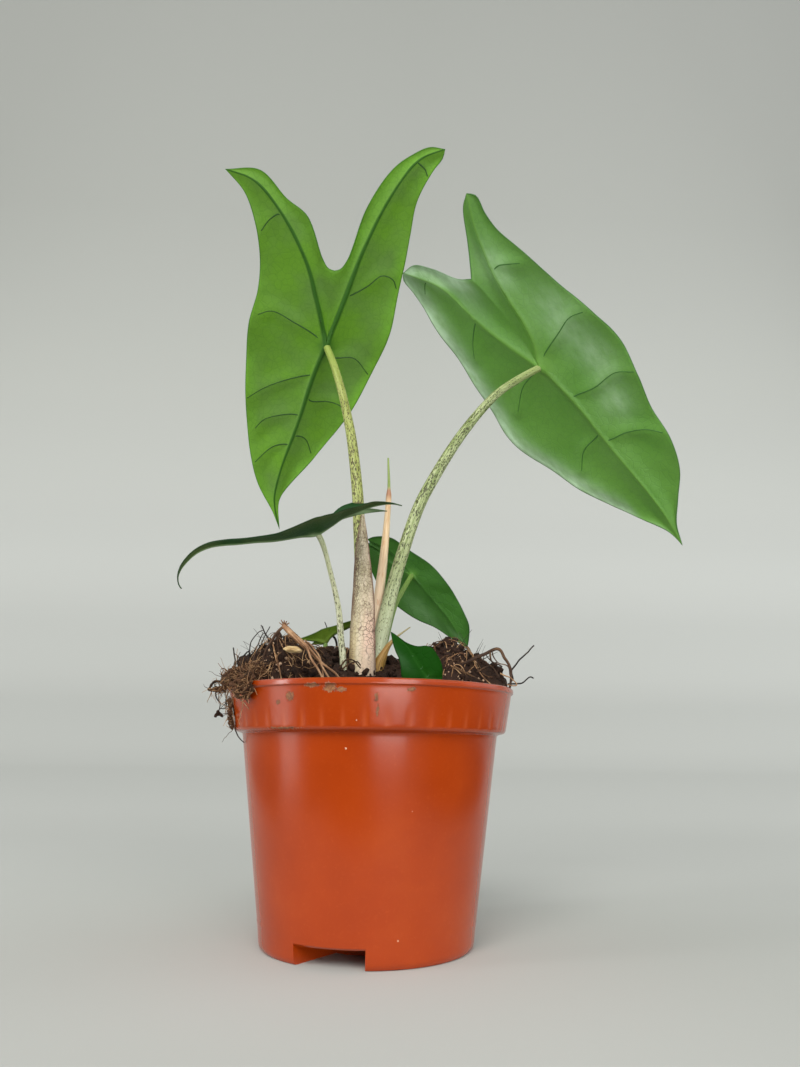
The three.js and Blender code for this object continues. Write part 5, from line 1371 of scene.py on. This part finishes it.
left_skin = stalk_finish("left_stalk", skin=hue(168, 176, 104), streak=hue(134, 142, 66),
                         dash=hue(66, 54, 16), foot=hue(180, 178, 132), top=hue(150, 174, 78))
right_skin = stalk_finish("right_stalk", skin=hue(174, 184, 134), streak=hue(118, 134, 72),
                          dash=hue(58, 60, 22), foot=hue(202, 208, 180), top=hue(158, 172, 104))
thin_skin = stalk_finish("thin_stalk", skin=hue(192, 194, 162), streak=hue(162, 166, 124),
                         dash=hue(80, 78, 52), foot=hue(184, 182, 152), top=hue(176, 184, 140))
green_skin = stalk_finish("green_stalk", skin=hue(126, 150, 80), streak=hue(98, 124, 54),
                          dash=hue(60, 84, 30), foot=hue(168, 176, 120), top=hue(112, 152, 58))

for key, skin in (("left", left_skin), ("right", right_skin), ("narrow", thin_skin), ("behind", green_skin),
                  ("front", green_skin), ("low", green_skin)):
    add_stalk("stalk_" + key, STALKS[key], LEAVES[key], skin)

# %% [markdown]
# ## Sheath, scale and new shoot
# Dry, papery sheaths wrap the feet of the stalks. Each could be a sheet bent round the stalk, but
# only the outside shows, so it is a stack of ovals read smoothly, with wrinkles that run up it.

# %% Wrapped forms


def wrapped(name, ovals, finish, node, slot, wrinkle, columns=96, rows=190):
    """Rings centre + (1 + w) (rx cos a, ry sin a) over a smooth list of ovals (z, x, y, rx, ry). The
    wrinkle w is noise on an axis system that is squeezed along z, so it makes upright folds. The
    fields left and front are 1 on those sides and -1 on the opposite ones."""
    t = np.linspace(0, 1, rows)
    ovals = np.array(ovals, float)
    spine, sizes = smooth_line(ovals[:, [1, 2, 0]], t), ovals[:, 3:]
    sizes = np.stack([np.interp(spine[:, 2], ovals[:, 0], sizes[:, k]) for k in (0, 1)], -1)
    kernel = np.hanning(25) / np.hanning(25).sum()
    sizes = np.stack([np.convolve(np.pad(sizes[:, k], 12, "edge"), kernel, "valid") for k in (0, 1)], -1)
    sizes[-1] = 0.05
    a = np.arange(columns) * 2 * math.pi / columns
    ring = np.stack([np.cos(a), np.sin(a)], -1)
    places = np.stack([5 * ring[None, :, 0] + 0 * t[:, None], 5 * ring[None, :, 1] + 0 * t[:, None],
                       spine[:, 2:] * 0.16 + 0 * a[None]], -1)
    fold = 1 + wrinkle * (rough(places, 1.6, 3) + 0.5 * rough(places * [1, 1, 9], 2.5, 2))
    flat = spine[:, None, :2] + ring[None] * sizes[:, None] * fold[..., None]
    points = np.concatenate([flat, np.broadcast_to(spine[:, None, 2:], (rows, columns, 1))], -1)
    ends = [spine[[k]][None].repeat(columns, 1) for k in (-1, 0)]
    points = np.concatenate([points, *ends])
    order = np.concatenate([[rows + 1], np.arange(rows + 1)])
    points = points[order]
    rise = np.concatenate([[0], t, [1]])[:, None] + 0 * a
    turn = np.broadcast_to(a, rise.shape)
    wraps = np.stack([5 * np.cos(turn), 5 * np.sin(turn), points[..., 2]], -1).reshape(-1, 3) * MM
    left, front = np.cos(turn - math.pi), np.cos(turn + math.pi / 2)
    fields = {"rise": rise.ravel(), "left": left.ravel(), "front": front.ravel(), "grain": wraps}
    points, faces, fields = weld(points.reshape(-1, 3), grid_faces(*rise.shape, closed=True), fields)
    return add_mesh(name, points, faces, finish, fields=fields, stands_for=(node,), slot=slot)


SHEATH = [(63, -4, 0.9, 3.8, 3.7), (72, -3.3, 0.5, 4.3, 4.1), (80, -3.1, 0.3, 4.4, 4.1),
          (91, -3.2, 0.1, 4.1, 3.8), (103, -3.2, -0.2, 3.7, 3.2), (112, -3.6, -0.7, 3, 2.4),
          (119, -3.9, -1.1, 2.4, 1.6), (126, -4, -1, 1.5, 1.1), (132, -4, -0.8, 0.4, 0.4)]
SCALE = [(66, 0.4, 4.8, 2.6, 3.3), (74, 0.8, 5.1, 2.8, 3.5), (80, 1.5, 4.9, 2.7, 3.3),
         (84, 2.7, 4.3, 2.1, 2.6), (87.5, 4.6, 4, 1.2, 1.6), (90.5, 7, 4.2, 0.7, 0.7),
         (95, 12.6, 5.6, 0.3, 0.3)]
print("sheath and scale end at", SHEATH[-1][0], "and", SCALE[-1][0], "mm")

# %% [markdown]
# The dry sheath is straw-coloured, olive at its left foot, and pink low on the right, where a net
# of fine cracks shows. Both of its sides are brown, and its upper part is grey-olive and blotched.

# %% The dry sheath's finish
sheath_finish = Finish("papery_sheath", Specular_IOR_Level=0.3)
grain, rise = sheath_finish.field("grain", out="Vector"), sheath_finish.field("rise")
left, front = sheath_finish.field("left"), sheath_finish.field("front")
fibre = sheath_finish.noise(grain, 0.9, detail=4, by=(1, 1, 0.12))
blot = sheath_finish.noise(grain, 2.6, detail=4, roughness=0.65, by=(1, 1, 0.5))
net_place, fine_place = (sheath_finish.stretched(grain, by) for by in ((0.8, 0.8, 1.25), (1, 1, 0.45)))
net = sheath_finish.cells(net_place, 1.5, "DISTANCE_TO_EDGE").below(0.02, 0.05)
fine_net = sheath_finish.cells(fine_place, 0.55, "DISTANCE_TO_EDGE").below(0.06, 0.1)
upper_part = rise.above(0.36, 0.3)
pink = rise.above(0.3, 0.08) * rise.below(0.46, 0.08) * left.below(-0.35, 0.3) * front.above(-0.2, 0.4)
brown_left = left.above(0.66, 0.3) * rise.above(0.36, 0.2)
brown_right = (0 - left).above(0.8, 0.14) * rise.above(0.12, 0.2)
paper = sheath_finish.painted(
    sheath_finish.ramp(fibre, (0.3, hue(206, 190, 156)), (0.5, hue(226, 212, 184)),
                       (0.7, hue(240, 228, 206))),
    (left.above(0, 0.6) * 0.55, hue(184, 170, 118)),
    ((rise.below(0.3, 0.15) * left.above(0.4, 0.5)) * 0.7, hue(150, 116, 60)),
    (left.below(-0.1, 0.5) * 0.5 + pink * 0.4, hue(230, 194, 172)),
    (upper_part * front.above(0.4, 0.5) * 0.5, hue(206, 204, 172)),
    (upper_part * blot.above(0.4, 0.2) * 0.6, hue(150, 140, 100)),
    (net * (blot.above(0.42, 0.2) * 0.8 + pink + upper_part * 0.3).clip() * 0.8, hue(104, 76, 62)),
    (fine_net * upper_part * (left.above(0.1, 0.5) * 0.6 + 0.25), hue(92, 68, 62)),
    ((brown_left + brown_right).clip() * (fibre * 0.8 + 0.3), hue(104, 60, 46)))
sheath_finish.done(paper, 0.62 + fibre * 0.2, fibre - net * 1.2 + blot * 0.6, depth=0.22, strength=0.8)
wrapped("papery_sheath", SHEATH, sheath_finish, "sheath", "dry_sheath", 0.035)

# %% The olive scale's finish
scale_finish = Finish("olive_scale", Specular_IOR_Level=0.45)
grain, rise = scale_finish.field("grain", out="Vector"), scale_finish.field("rise")
fibre = scale_finish.noise(grain, 0.7, detail=4, by=(1, 1, 0.1))
spot = scale_finish.noise(grain, 1.6, detail=3, by=(1, 1, 0.6))
olive = scale_finish.painted(
    scale_finish.ramp(fibre, (0.3, hue(110, 78, 30)), (0.5, hue(160, 122, 56)), (0.72, hue(196, 166, 98))),
    (spot.above(0.56, 0.1) * 0.6, hue(98, 72, 34)),
    (rise.above(0.7, 0.14) * 0.8, hue(166, 160, 122)))
scale_finish.done(olive, 0.45 + fibre * 0.2, fibre + spot * 0.5, depth=0.2, strength=0.7)
wrapped("olive_scale", SCALE, scale_finish, "scale", "olive_scale", 0.03, columns=72, rows=120)

# %% [markdown]
# The next leaf is still a tight roll inside a pink-brown skin. A seam winds up it, and a green tip
# looks out of a nick near the top. The seam is a shallow groove that turns a little with height.
# The finish reads the height as the field rise, in units of 100 mm.

# %% The new shoot
SHOOT_ROWS, SHOOT_SIDES = 170, 24
NICK_FROM, NICK_TO = 141, 144.5
t = np.linspace(0, 1, SHOOT_ROWS)
shoot_line = smooth_line([(-2.5, 8.5, FOOT), (-1.4, 9.4, 75), (-0.3, 8.8, 85), (1.2, 6.2, 98.6),
                          (3.2, 6.2, 117.4), (4.3, 6.8, 131.8), (4.8, 7, 143), (4.4, 7, 155.2)], t)
shoot_width = taper([0.9, 0.9, 1.1, 1.5, 1.7, 1.4, 1.1, 0.75, 0.4], t)
nick = soft_step(shoot_line[:, 2], NICK_FROM, NICK_TO)
collar = soft_step(shoot_line[:, 2], 136, 140) * (1 - nick)
shoot_width = shoot_width * (1 + 0.16 * collar) * (1 - 0.28 * nick)
points, faces, fields = tubes(shoot_line[None], shoot_width[None], SHOOT_SIDES)
rings = points.reshape(SHOOT_ROWS, SHOOT_SIDES, 3)
winding = np.arange(SHOOT_SIDES)[None] / SHOOT_SIDES - 0.15 - 0.25 * t[:, None]
seam = np.exp(-((((winding % 1) - 0.5) / 0.035) ** 2))
rings = shoot_line[:, None] + (rings - shoot_line[:, None]) * (1 - 0.12 * seam)[..., None]
fields["rise"] = np.repeat(shoot_line[:, 2] / 100, SHOOT_SIDES)
fields["seam"] = seam.ravel()
print("shoot from", FOOT, "to", shoot_line[-1, 2], "mm")

# %% The new shoot's finish
shoot_finish = Finish("rolled_shoot", Specular_IOR_Level=0.4)
grain, rise = shoot_finish.field("grain", out="Vector"), shoot_finish.field("rise")
fibre = shoot_finish.noise(grain, 0.6, detail=4, by=(1, 1, 0.05))
spot = shoot_finish.noise(grain, 1.8, detail=3, by=(1, 1, 0.4))
skin = shoot_finish.painted(
    shoot_finish.ramp(fibre, (0.3, hue(198, 162, 120)), (0.5, hue(222, 194, 154)),
                      (0.7, hue(234, 214, 180))),
    (rise.below(0.95, 0.3) * 0.6, hue(246, 226, 204)),
    (shoot_finish.field("seam") * 0.5, hue(176, 128, 92)),
    (spot.above(0.6, 0.08) * 0.5, hue(196, 140, 100)),
    (rise.above(1.385, 0.03) * rise.below(1.43, 0.02) * 0.75, hue(150, 84, 56)),
    (rise.above(1.43, 0.015), hue(136, 156, 84)))
shoot_finish.done(skin, 0.5 + fibre * 0.15, fibre, depth=0.12, strength=0.6)
add_mesh("rolled_shoot", rings.reshape(-1, 3), faces, shoot_finish, fields=fields,
         stands_for=("new_shoot",), slot="shoot")

# %% [markdown]
# ## Straws, bark and corm
# Old leaf stalks have dried to stiff straws. They are tubes pressed flat, with ridges, and frayed
# where one has snapped.

# %% Straws


def straw(paths, widths, seed, sides=12, steps=60):
    """Tubes whose radius carries ridges: r (1 + 0.14 sin(5 a + turn) + noise), pressed to 0.7."""
    rng = np.random.default_rng(seed)
    families = []
    for path, radii in zip(paths, widths):
        t = np.linspace(0, 1, steps)
        line = smooth_line(path, t) + 0.22 * rough(smooth_line(path, t)[None] + seed, 3, 2)[0][:, None]
        width = taper(radii, t)
        points, faces, fields = tubes(line[None], width[None], sides)
        rings = points.reshape(steps, sides, 3)
        a = np.arange(sides) * 2 * math.pi / sides
        ridge = 0.14 * np.sin(5 * a[None] + 3 * t[:, None] + rng.uniform(0, 6))
        ridge = ridge + 0.12 * rough(rings, 1.4, 2)
        press = 1 - 0.3 * np.abs(np.sin(a + rng.uniform(0, 3)))
        rings = line[:, None] + (rings - line[:, None]) * ((1 + ridge) * press[None])[..., None]
        families.append((rings.reshape(-1, 3), faces, fields))
    return gathered(*families)


def straw_finish(name, dark, middle, pale):
    """Three colours by long fibres and by patches in space."""
    finish = Finish(name, Specular_IOR_Level=0.3)
    grain = finish.field("grain", out="Vector")
    fibre = finish.noise(grain, 0.5, detail=4, by=(1, 1, 0.08))
    patch = finish.noise(finish.place(), 4, detail=3)
    colour = finish.ramp(fibre * 0.6 + patch * 0.4, (0.36, dark), (0.5, middle), (0.66, pale))
    return finish.done(colour, 0.6 + fibre * 0.25, fibre, depth=0.2, strength=0.8)


tan_straw = straw_finish("tan_straw", hue(92, 60, 42), hue(150, 112, 80), hue(198, 164, 128))
brown_straw = straw_finish("brown_straw", hue(38, 25, 18), hue(74, 51, 35), hue(118, 88, 60))
tuft = ((-1.1, 0.2, 0.3), (-0.6, -0.5, 0.8), (0, 0.3, 0.9), (0.6, -0.2, 0.7), (1.1, 0.4, 0.4),
        (-0.3, 0, 0.5))
frayed = [[(-27, -16, 91.2), (-27 + a, -16.2 + b, 91.8 + c), (-27 + 1.5 * a, -16.3 + 1.6 * b, 92 + 1.4 * c)]
          for a, b, c in tuft]
points, faces, fields = straw(
    [[(-27.3, -16, 91.5), (-25.1, -16.2, 89.6), (-22.7, -16.4, 87.6), (-19.4, -16.6, 84.5),
      (-15.5, -16, 80.8), (-11.1, -15, 77.8), (-8, -13, 73)],
     [(-24.4, -16.6, 89.2), (-20.6, -17.2, 86.4), (-17.8, -17.6, 83.4), (-15, -17.4, 79.6),
      (-12.2, -17, 75)],
     [(-22.6, -17, 87.6), (-19.8, -18, 85), (-18.2, -18.6, 81.4), (-15.4, -19, 77), (-13, -19, 72)],
     [(-20.6, -15.8, 87.4), (-18.4, -15.4, 85.6), (-15.8, -15.6, 82.2), (-14.6, -16, 77),
      (-14, -16, 72)], *frayed],
    [[1, 1.15, 0.95, 0.6, 0.42, 0.38, 0.35], [0.5, 0.5, 0.4, 0.35], [0.4, 0.4, 0.3], [0.25, 0.35, 0.3]]
    + [[0.3, 0.24, 0.12]] * 6, 5)
add_mesh("straw_left", points, faces, tan_straw, fields=fields, stands_for=("straw_left",), slot="straw")
points, faces, fields = straw(
    [[(-27, -16, 91.5), (-28.2, -15.6, 90.4), (-29.6, -15, 88.8), (-31, -14.4, 86.6), (-32.6, -14, 83.6),
      (-33.6, -13, 80)],
     [(-28, -15.4, 89.6), (-29, -14.6, 87), (-28.4, -13, 83.6)]],
    [[0.5, 0.6, 0.55, 0.5, 0.45], [0.25, 0.25, 0.2]], 9)
add_mesh("straw_left_leg", points, faces, brown_straw, fields=fields, slot="straw")
points, faces, fields = straw(
    [[(24, -4, 80.5), (29.2, -6, 82), (32.2, -7, 83.4), (36.3, -7, 85.3), (39.8, -7, 86.5),
      (42, -7.6, 83.4), (43.3, -8.4, 80.6), (43.2, -9.4, 76), (42.4, -9.6, 72)],
     [(37.6, -8, 86), (38.2, -8, 84), (39.6, -8.6, 82), (42.4, -9, 81), (43, -9.4, 78)]],
    [[0.6, 0.7, 0.75, 0.7, 0.6, 0.5, 0.45], [0.25, 0.2, 0.25]], 7)
add_mesh("straw_right", points, faces, brown_straw, fields=fields,
         stands_for=("straw_right",), slot="straw")

# %% [markdown]
# The bark chip is a rough ball squashed along three axes and tilted. The corm could be carved too,
# but the peat covers it, so it is one profile swept round and swollen a little by noise.

# %% Bark chip and corm
bark_finish = Finish("bark", Specular_IOR_Level=0.25)
where = bark_finish.place()
layers = bark_finish.noise(where, 1.2, detail=5, roughness=0.65, by=(0.35, 1, 1.6))
bark = bark_finish.ramp(layers, (0.32, hue(120, 90, 60)), (0.46, hue(190, 160, 110)),
                        (0.6, hue(216, 194, 148)), (0.75, hue(238, 224, 188)))
bark_finish.done(bark, 0.75 + layers * 0.2, layers, depth=0.4, strength=0.9)
chip, chip_faces = ball(4)
lean = math.radians(4)
chip = chip * (1 + 0.2 * rough(chip * 3 + 5, 1.6, 3)[:, None]) * [2.7, 1.4, 1.05]
cos, sin = math.cos(lean), math.sin(lean)
chip = chip @ np.array([[cos, 0, -sin], [0, 1, 0], [sin, 0, cos]]) + [-23.9, -17, 84.2]
add_mesh("bark_chip", chip, [chip_faces], bark_finish, stands_for=("bark_chip",), slot="bark")

CORM_ROWS, CORM_COLUMNS = 90, 72
corm_finish = Finish("corm_skin", Specular_IOR_Level=0.3)
where = corm_finish.place()
rings_on_it = corm_finish.noise(where, 1.4, detail=3, by=(0.2, 0.2, 1.6))
husk = corm_finish.noise(where, 1.2, detail=5, roughness=0.65)
corm_colour = corm_finish.ramp(rings_on_it * 0.6 + husk * 0.4, (0.36, hue(58, 38, 26)),
                               (0.52, hue(112, 80, 54)), (0.66, hue(150, 112, 78)))
corm_finish.done(corm_colour, 0.75 + husk * 0.2, husk, depth=0.4, strength=0.8)
corm_line = [[0, 42], [5.2, 42], [9.8, 47.3], [11.5, 53.4], [11.5, 58.2], [10.7, 61], [0, 61]]
corm_r, corm_z = bent_line(corm_line, [0, 2, 3, 3, 2, 1, 0], CORM_ROWS).T
corm_turn = np.arange(CORM_COLUMNS) * 2 * math.pi / CORM_COLUMNS
round_x, round_y = corm_r[:, None] * np.cos(corm_turn), corm_r[:, None] * np.sin(corm_turn)
corm_z = corm_z[:, None] + 0 * corm_turn
swell = 1 + 0.035 * rough(np.stack([round_x, round_y, corm_z], -1), 3.5, 3)
corm = np.stack([round_x * swell - 1.5, round_y * swell + 3.5, corm_z], -1)
corm_points, corm_faces, _ = weld(corm.reshape(-1, 3), grid_faces(CORM_ROWS, CORM_COLUMNS, closed=True), {})
add_mesh("corm_body", corm_points, corm_faces, corm_finish, stands_for=("corm",), slot="corm_skin")

# %% [markdown]
# ## The studio
# A pale sheet lies under the pot and curves up behind it, so that no edge shows. Its profile is a
# floor, a quarter circle and a wall. It belongs to the picture, not to the object.

# %% Sweep of the backdrop
SHEET_HALF, SHEET_FRONT, SHEET_BACK, SHEET_TOP, SHEET_BEND = 2.6, -1.6, 1.7, 3.4, 1.35
sweep = bent_line([[SHEET_FRONT, 0], [SHEET_BACK, 0], [SHEET_BACK, SHEET_TOP]], [0, SHEET_BEND, 0], 90)
wide = np.linspace(-SHEET_HALF, SHEET_HALF, 30)
sheet = np.stack(np.broadcast_arrays(wide[None], sweep[:, :1], sweep[:, 1:]), -1)
sheet_mesh = bpy.data.meshes.new("backdrop")
sheet_faces = grid_faces(*sheet.shape[:2])[:, ::-1]
sheet_mesh.from_pydata(sheet.reshape(-1, 3).tolist(), [], sheet_faces.tolist())
sheet_mesh.polygons.foreach_set("use_smooth", np.full(len(sheet_mesh.polygons), True))
backdrop = placed("backdrop", sheet_mesh)
print("sheet:", sheet.shape[:2])

# %% [markdown]
# The sheet has its own finish. Light and shade are painted on it: it is palest at middle height,
# painted a little darker at the foot, at the top and towards the front, and painted lighter towards
# the right, as the daylight would fall on it. A glossy pot also mirrors the floor round it, and a
# pale floor would wash its orange out. So the floor is dark beyond the picture, beside and in front
# of the pot, and only some bearings stay pale, which gives the soft upright bands on the plastic.

# %% The sheet's finish
# Each stop: bearing round the pot (0 back, 0.25 left, 0.5 front, 0.75 right), and the share that
# stays pale there
KEPT_PALE = [(0.0, 0.6), (0.13, 0.35), (0.25, 0.2), (0.28, 1.0), (0.33, 1.0), (0.36, 0.12), (0.45, 0.1),
             (0.51, 0.2), (0.53, 0.5), (0.6, 0.5), (0.65, 0.06), (0.82, 0.04), (0.85, 0.5), (0.88, 1.0)]
wall_finish = Finish("pale_wall", Specular_IOR_Level=0.15)
cloudy = wall_finish.noise(wall_finish.place(), 500, detail=2)
sideways, inwards, height = (wall_finish.axis(letter) for letter in "XYZ")
breadth = sideways.math("ABSOLUTE", sideways, 0.0)
bearing = sideways.math("ARCTAN2", sideways, 0 - inwards) * (1 / (2 * math.pi)) + 0.5
kept_pale = wall_finish.ramp(bearing, *[(at, (share, share, share, 1)) for at, share in KEPT_PALE])
beside = ((-0.1 - inwards).above(0, 0.03) + (breadth - inwards * 0.5).above(0.16, 0.03)).clip()
near = (breadth * breadth + inwards * inwards).below(0.2, 0.15)
# Painted light and shade: palest at middle height, darker at the foot, at the top and to the front.
shade = wall_finish.ramp(
    height * 0.5 + inwards * 0.07 + cloudy * 0.04,
    (0.005, hue(166, 168, 163)), (0.02, hue(186, 188, 183)), (0.05, hue(195, 197, 192)),
    (0.12, hue(200, 202, 197)), (0.35, hue(212, 214, 209)), (0.6, hue(207, 209, 203)),
    (0.9, hue(196, 198, 192)))
# Painted light: the right of the sheet is painted lighter. Then the floor beside the pot goes dark.
shade = wall_finish.painted(shade, (sideways.above(0.1, 1.0) * 0.16, hue(250, 252, 247)),
                            (beside * near * (1 - kept_pale), hue(38, 38, 36)))
wall_finish.done(shade, 0.9 + cloudy * 0.05)
sheet_mesh.materials.append(wall_finish.material)
print("bearings in the sheet's finish:", len(KEPT_PALE))

# %% [markdown]
# The light is soft daylight: a grey world, a wide panel at the front left and above, weak panels at
# both sides, and two upright strips that give the pot its long pale reflections. Two small cards
# stand low beside the pot, one for the gleam on its band and one for its left edge.

# %% Lights
DAYLIGHT, DAYLIGHT_STRENGTH = (0.93, 0.97, 1.0, 1), 0.3
AIM = np.array([0.01, 0.0, 0.13])
WHITE = (1, 1, 1)
# Each panel: its place and its two sides in metres, its power in watts, and its colour
PANELS = {
    "key": ((-0.75, -2.93, 2.6), (2.4, 2.0), 114, (1, 0.98, 0.95)),
    "side_left": ((-1.7, 0.3, 0.9), (1.6, 1.8), 5, (0.97, 0.99, 1)),
    "side_right": ((1.7, 0.2, 0.9), (1.4, 1.8), 8, (0.95, 0.98, 1)),
    "fill": ((0.9, -0.6, 0.6), (0.7, 0.7), 1.4, (0.95, 0.98, 1)),
    "strip_left": ((-0.57, -0.2, 0.12), (0.1, 0.5), 1.5, WHITE),
    "strip_right": ((0.29, -0.66, 0.1), (0.3, 0.7), 3.2, WHITE),
    "low_right": ((0.07, -0.265, 0.02), (0.13, 0.05), 0.12, WHITE),
    "low_left": ((-0.225, -0.08, 0.03), (0.07, 0.08), 0.024, WHITE),
}
world = bpy.data.worlds.new("daylight")
world.use_nodes = True
world.node_tree.nodes["Background"].inputs["Color"].default_value = DAYLIGHT
world.node_tree.nodes["Background"].inputs["Strength"].default_value = DAYLIGHT_STRENGTH
bpy.context.scene.world = world


def stand(thing, x, y, z, place):
    """Puts a thing at place, with its own axes along x, y and z."""
    turn = np.eye(4)
    turn[:3] = np.stack([x, y, z, place], 1)
    thing.matrix_world = Matrix(turn.tolist())


def panel(name, place, size, power, colour):
    """A rectangle of light at place, its z axis on the line from the aim to it."""
    light = bpy.data.lights.new(name, "AREA")
    light.shape, light.size, light.size_y = "RECTANGLE", *size
    light.energy, light.color = power, colour
    z = unit(np.array(place) - AIM)
    x = unit(np.cross([0, 0, 1.0], z))
    stand(placed(name, light), x, np.cross(z, x), z, place)


for name, settings in PANELS.items():
    panel(name, *settings)
print("panels of light:", len(PANELS))

# %% [markdown]
# The camera stands low and close and looks up a little, so the rim is seen from just below and the
# leaves lean away above it. Yaw, pitch, roll, place and lens were fitted to the pot's rim, step and
# foot.

# %% Camera
YAW, PITCH, ROLL = (math.radians(degrees) for degrees in (1.9, 15.1, 0.6))
EYE, LENS = (0, -0.26, 0.0555), 27.0
ahead = np.array([math.sin(YAW) * math.cos(PITCH), math.cos(YAW) * math.cos(PITCH), math.sin(PITCH)])
level = np.array([math.cos(YAW), -math.sin(YAW), 0.0])
above = np.cross(level, ahead)
lens = bpy.data.cameras.new("front")
lens.lens, lens.clip_start = LENS, 0.01
camera = placed("front", lens)
stand(camera, level * math.cos(ROLL) + above * math.sin(ROLL),
      above * math.cos(ROLL) - level * math.sin(ROLL), -ahead, EYE)
bpy.context.scene.camera = camera
bpy.context.scene.view_settings.view_transform = "Standard"
print("camera", EYE, "lens", LENS, "mm")
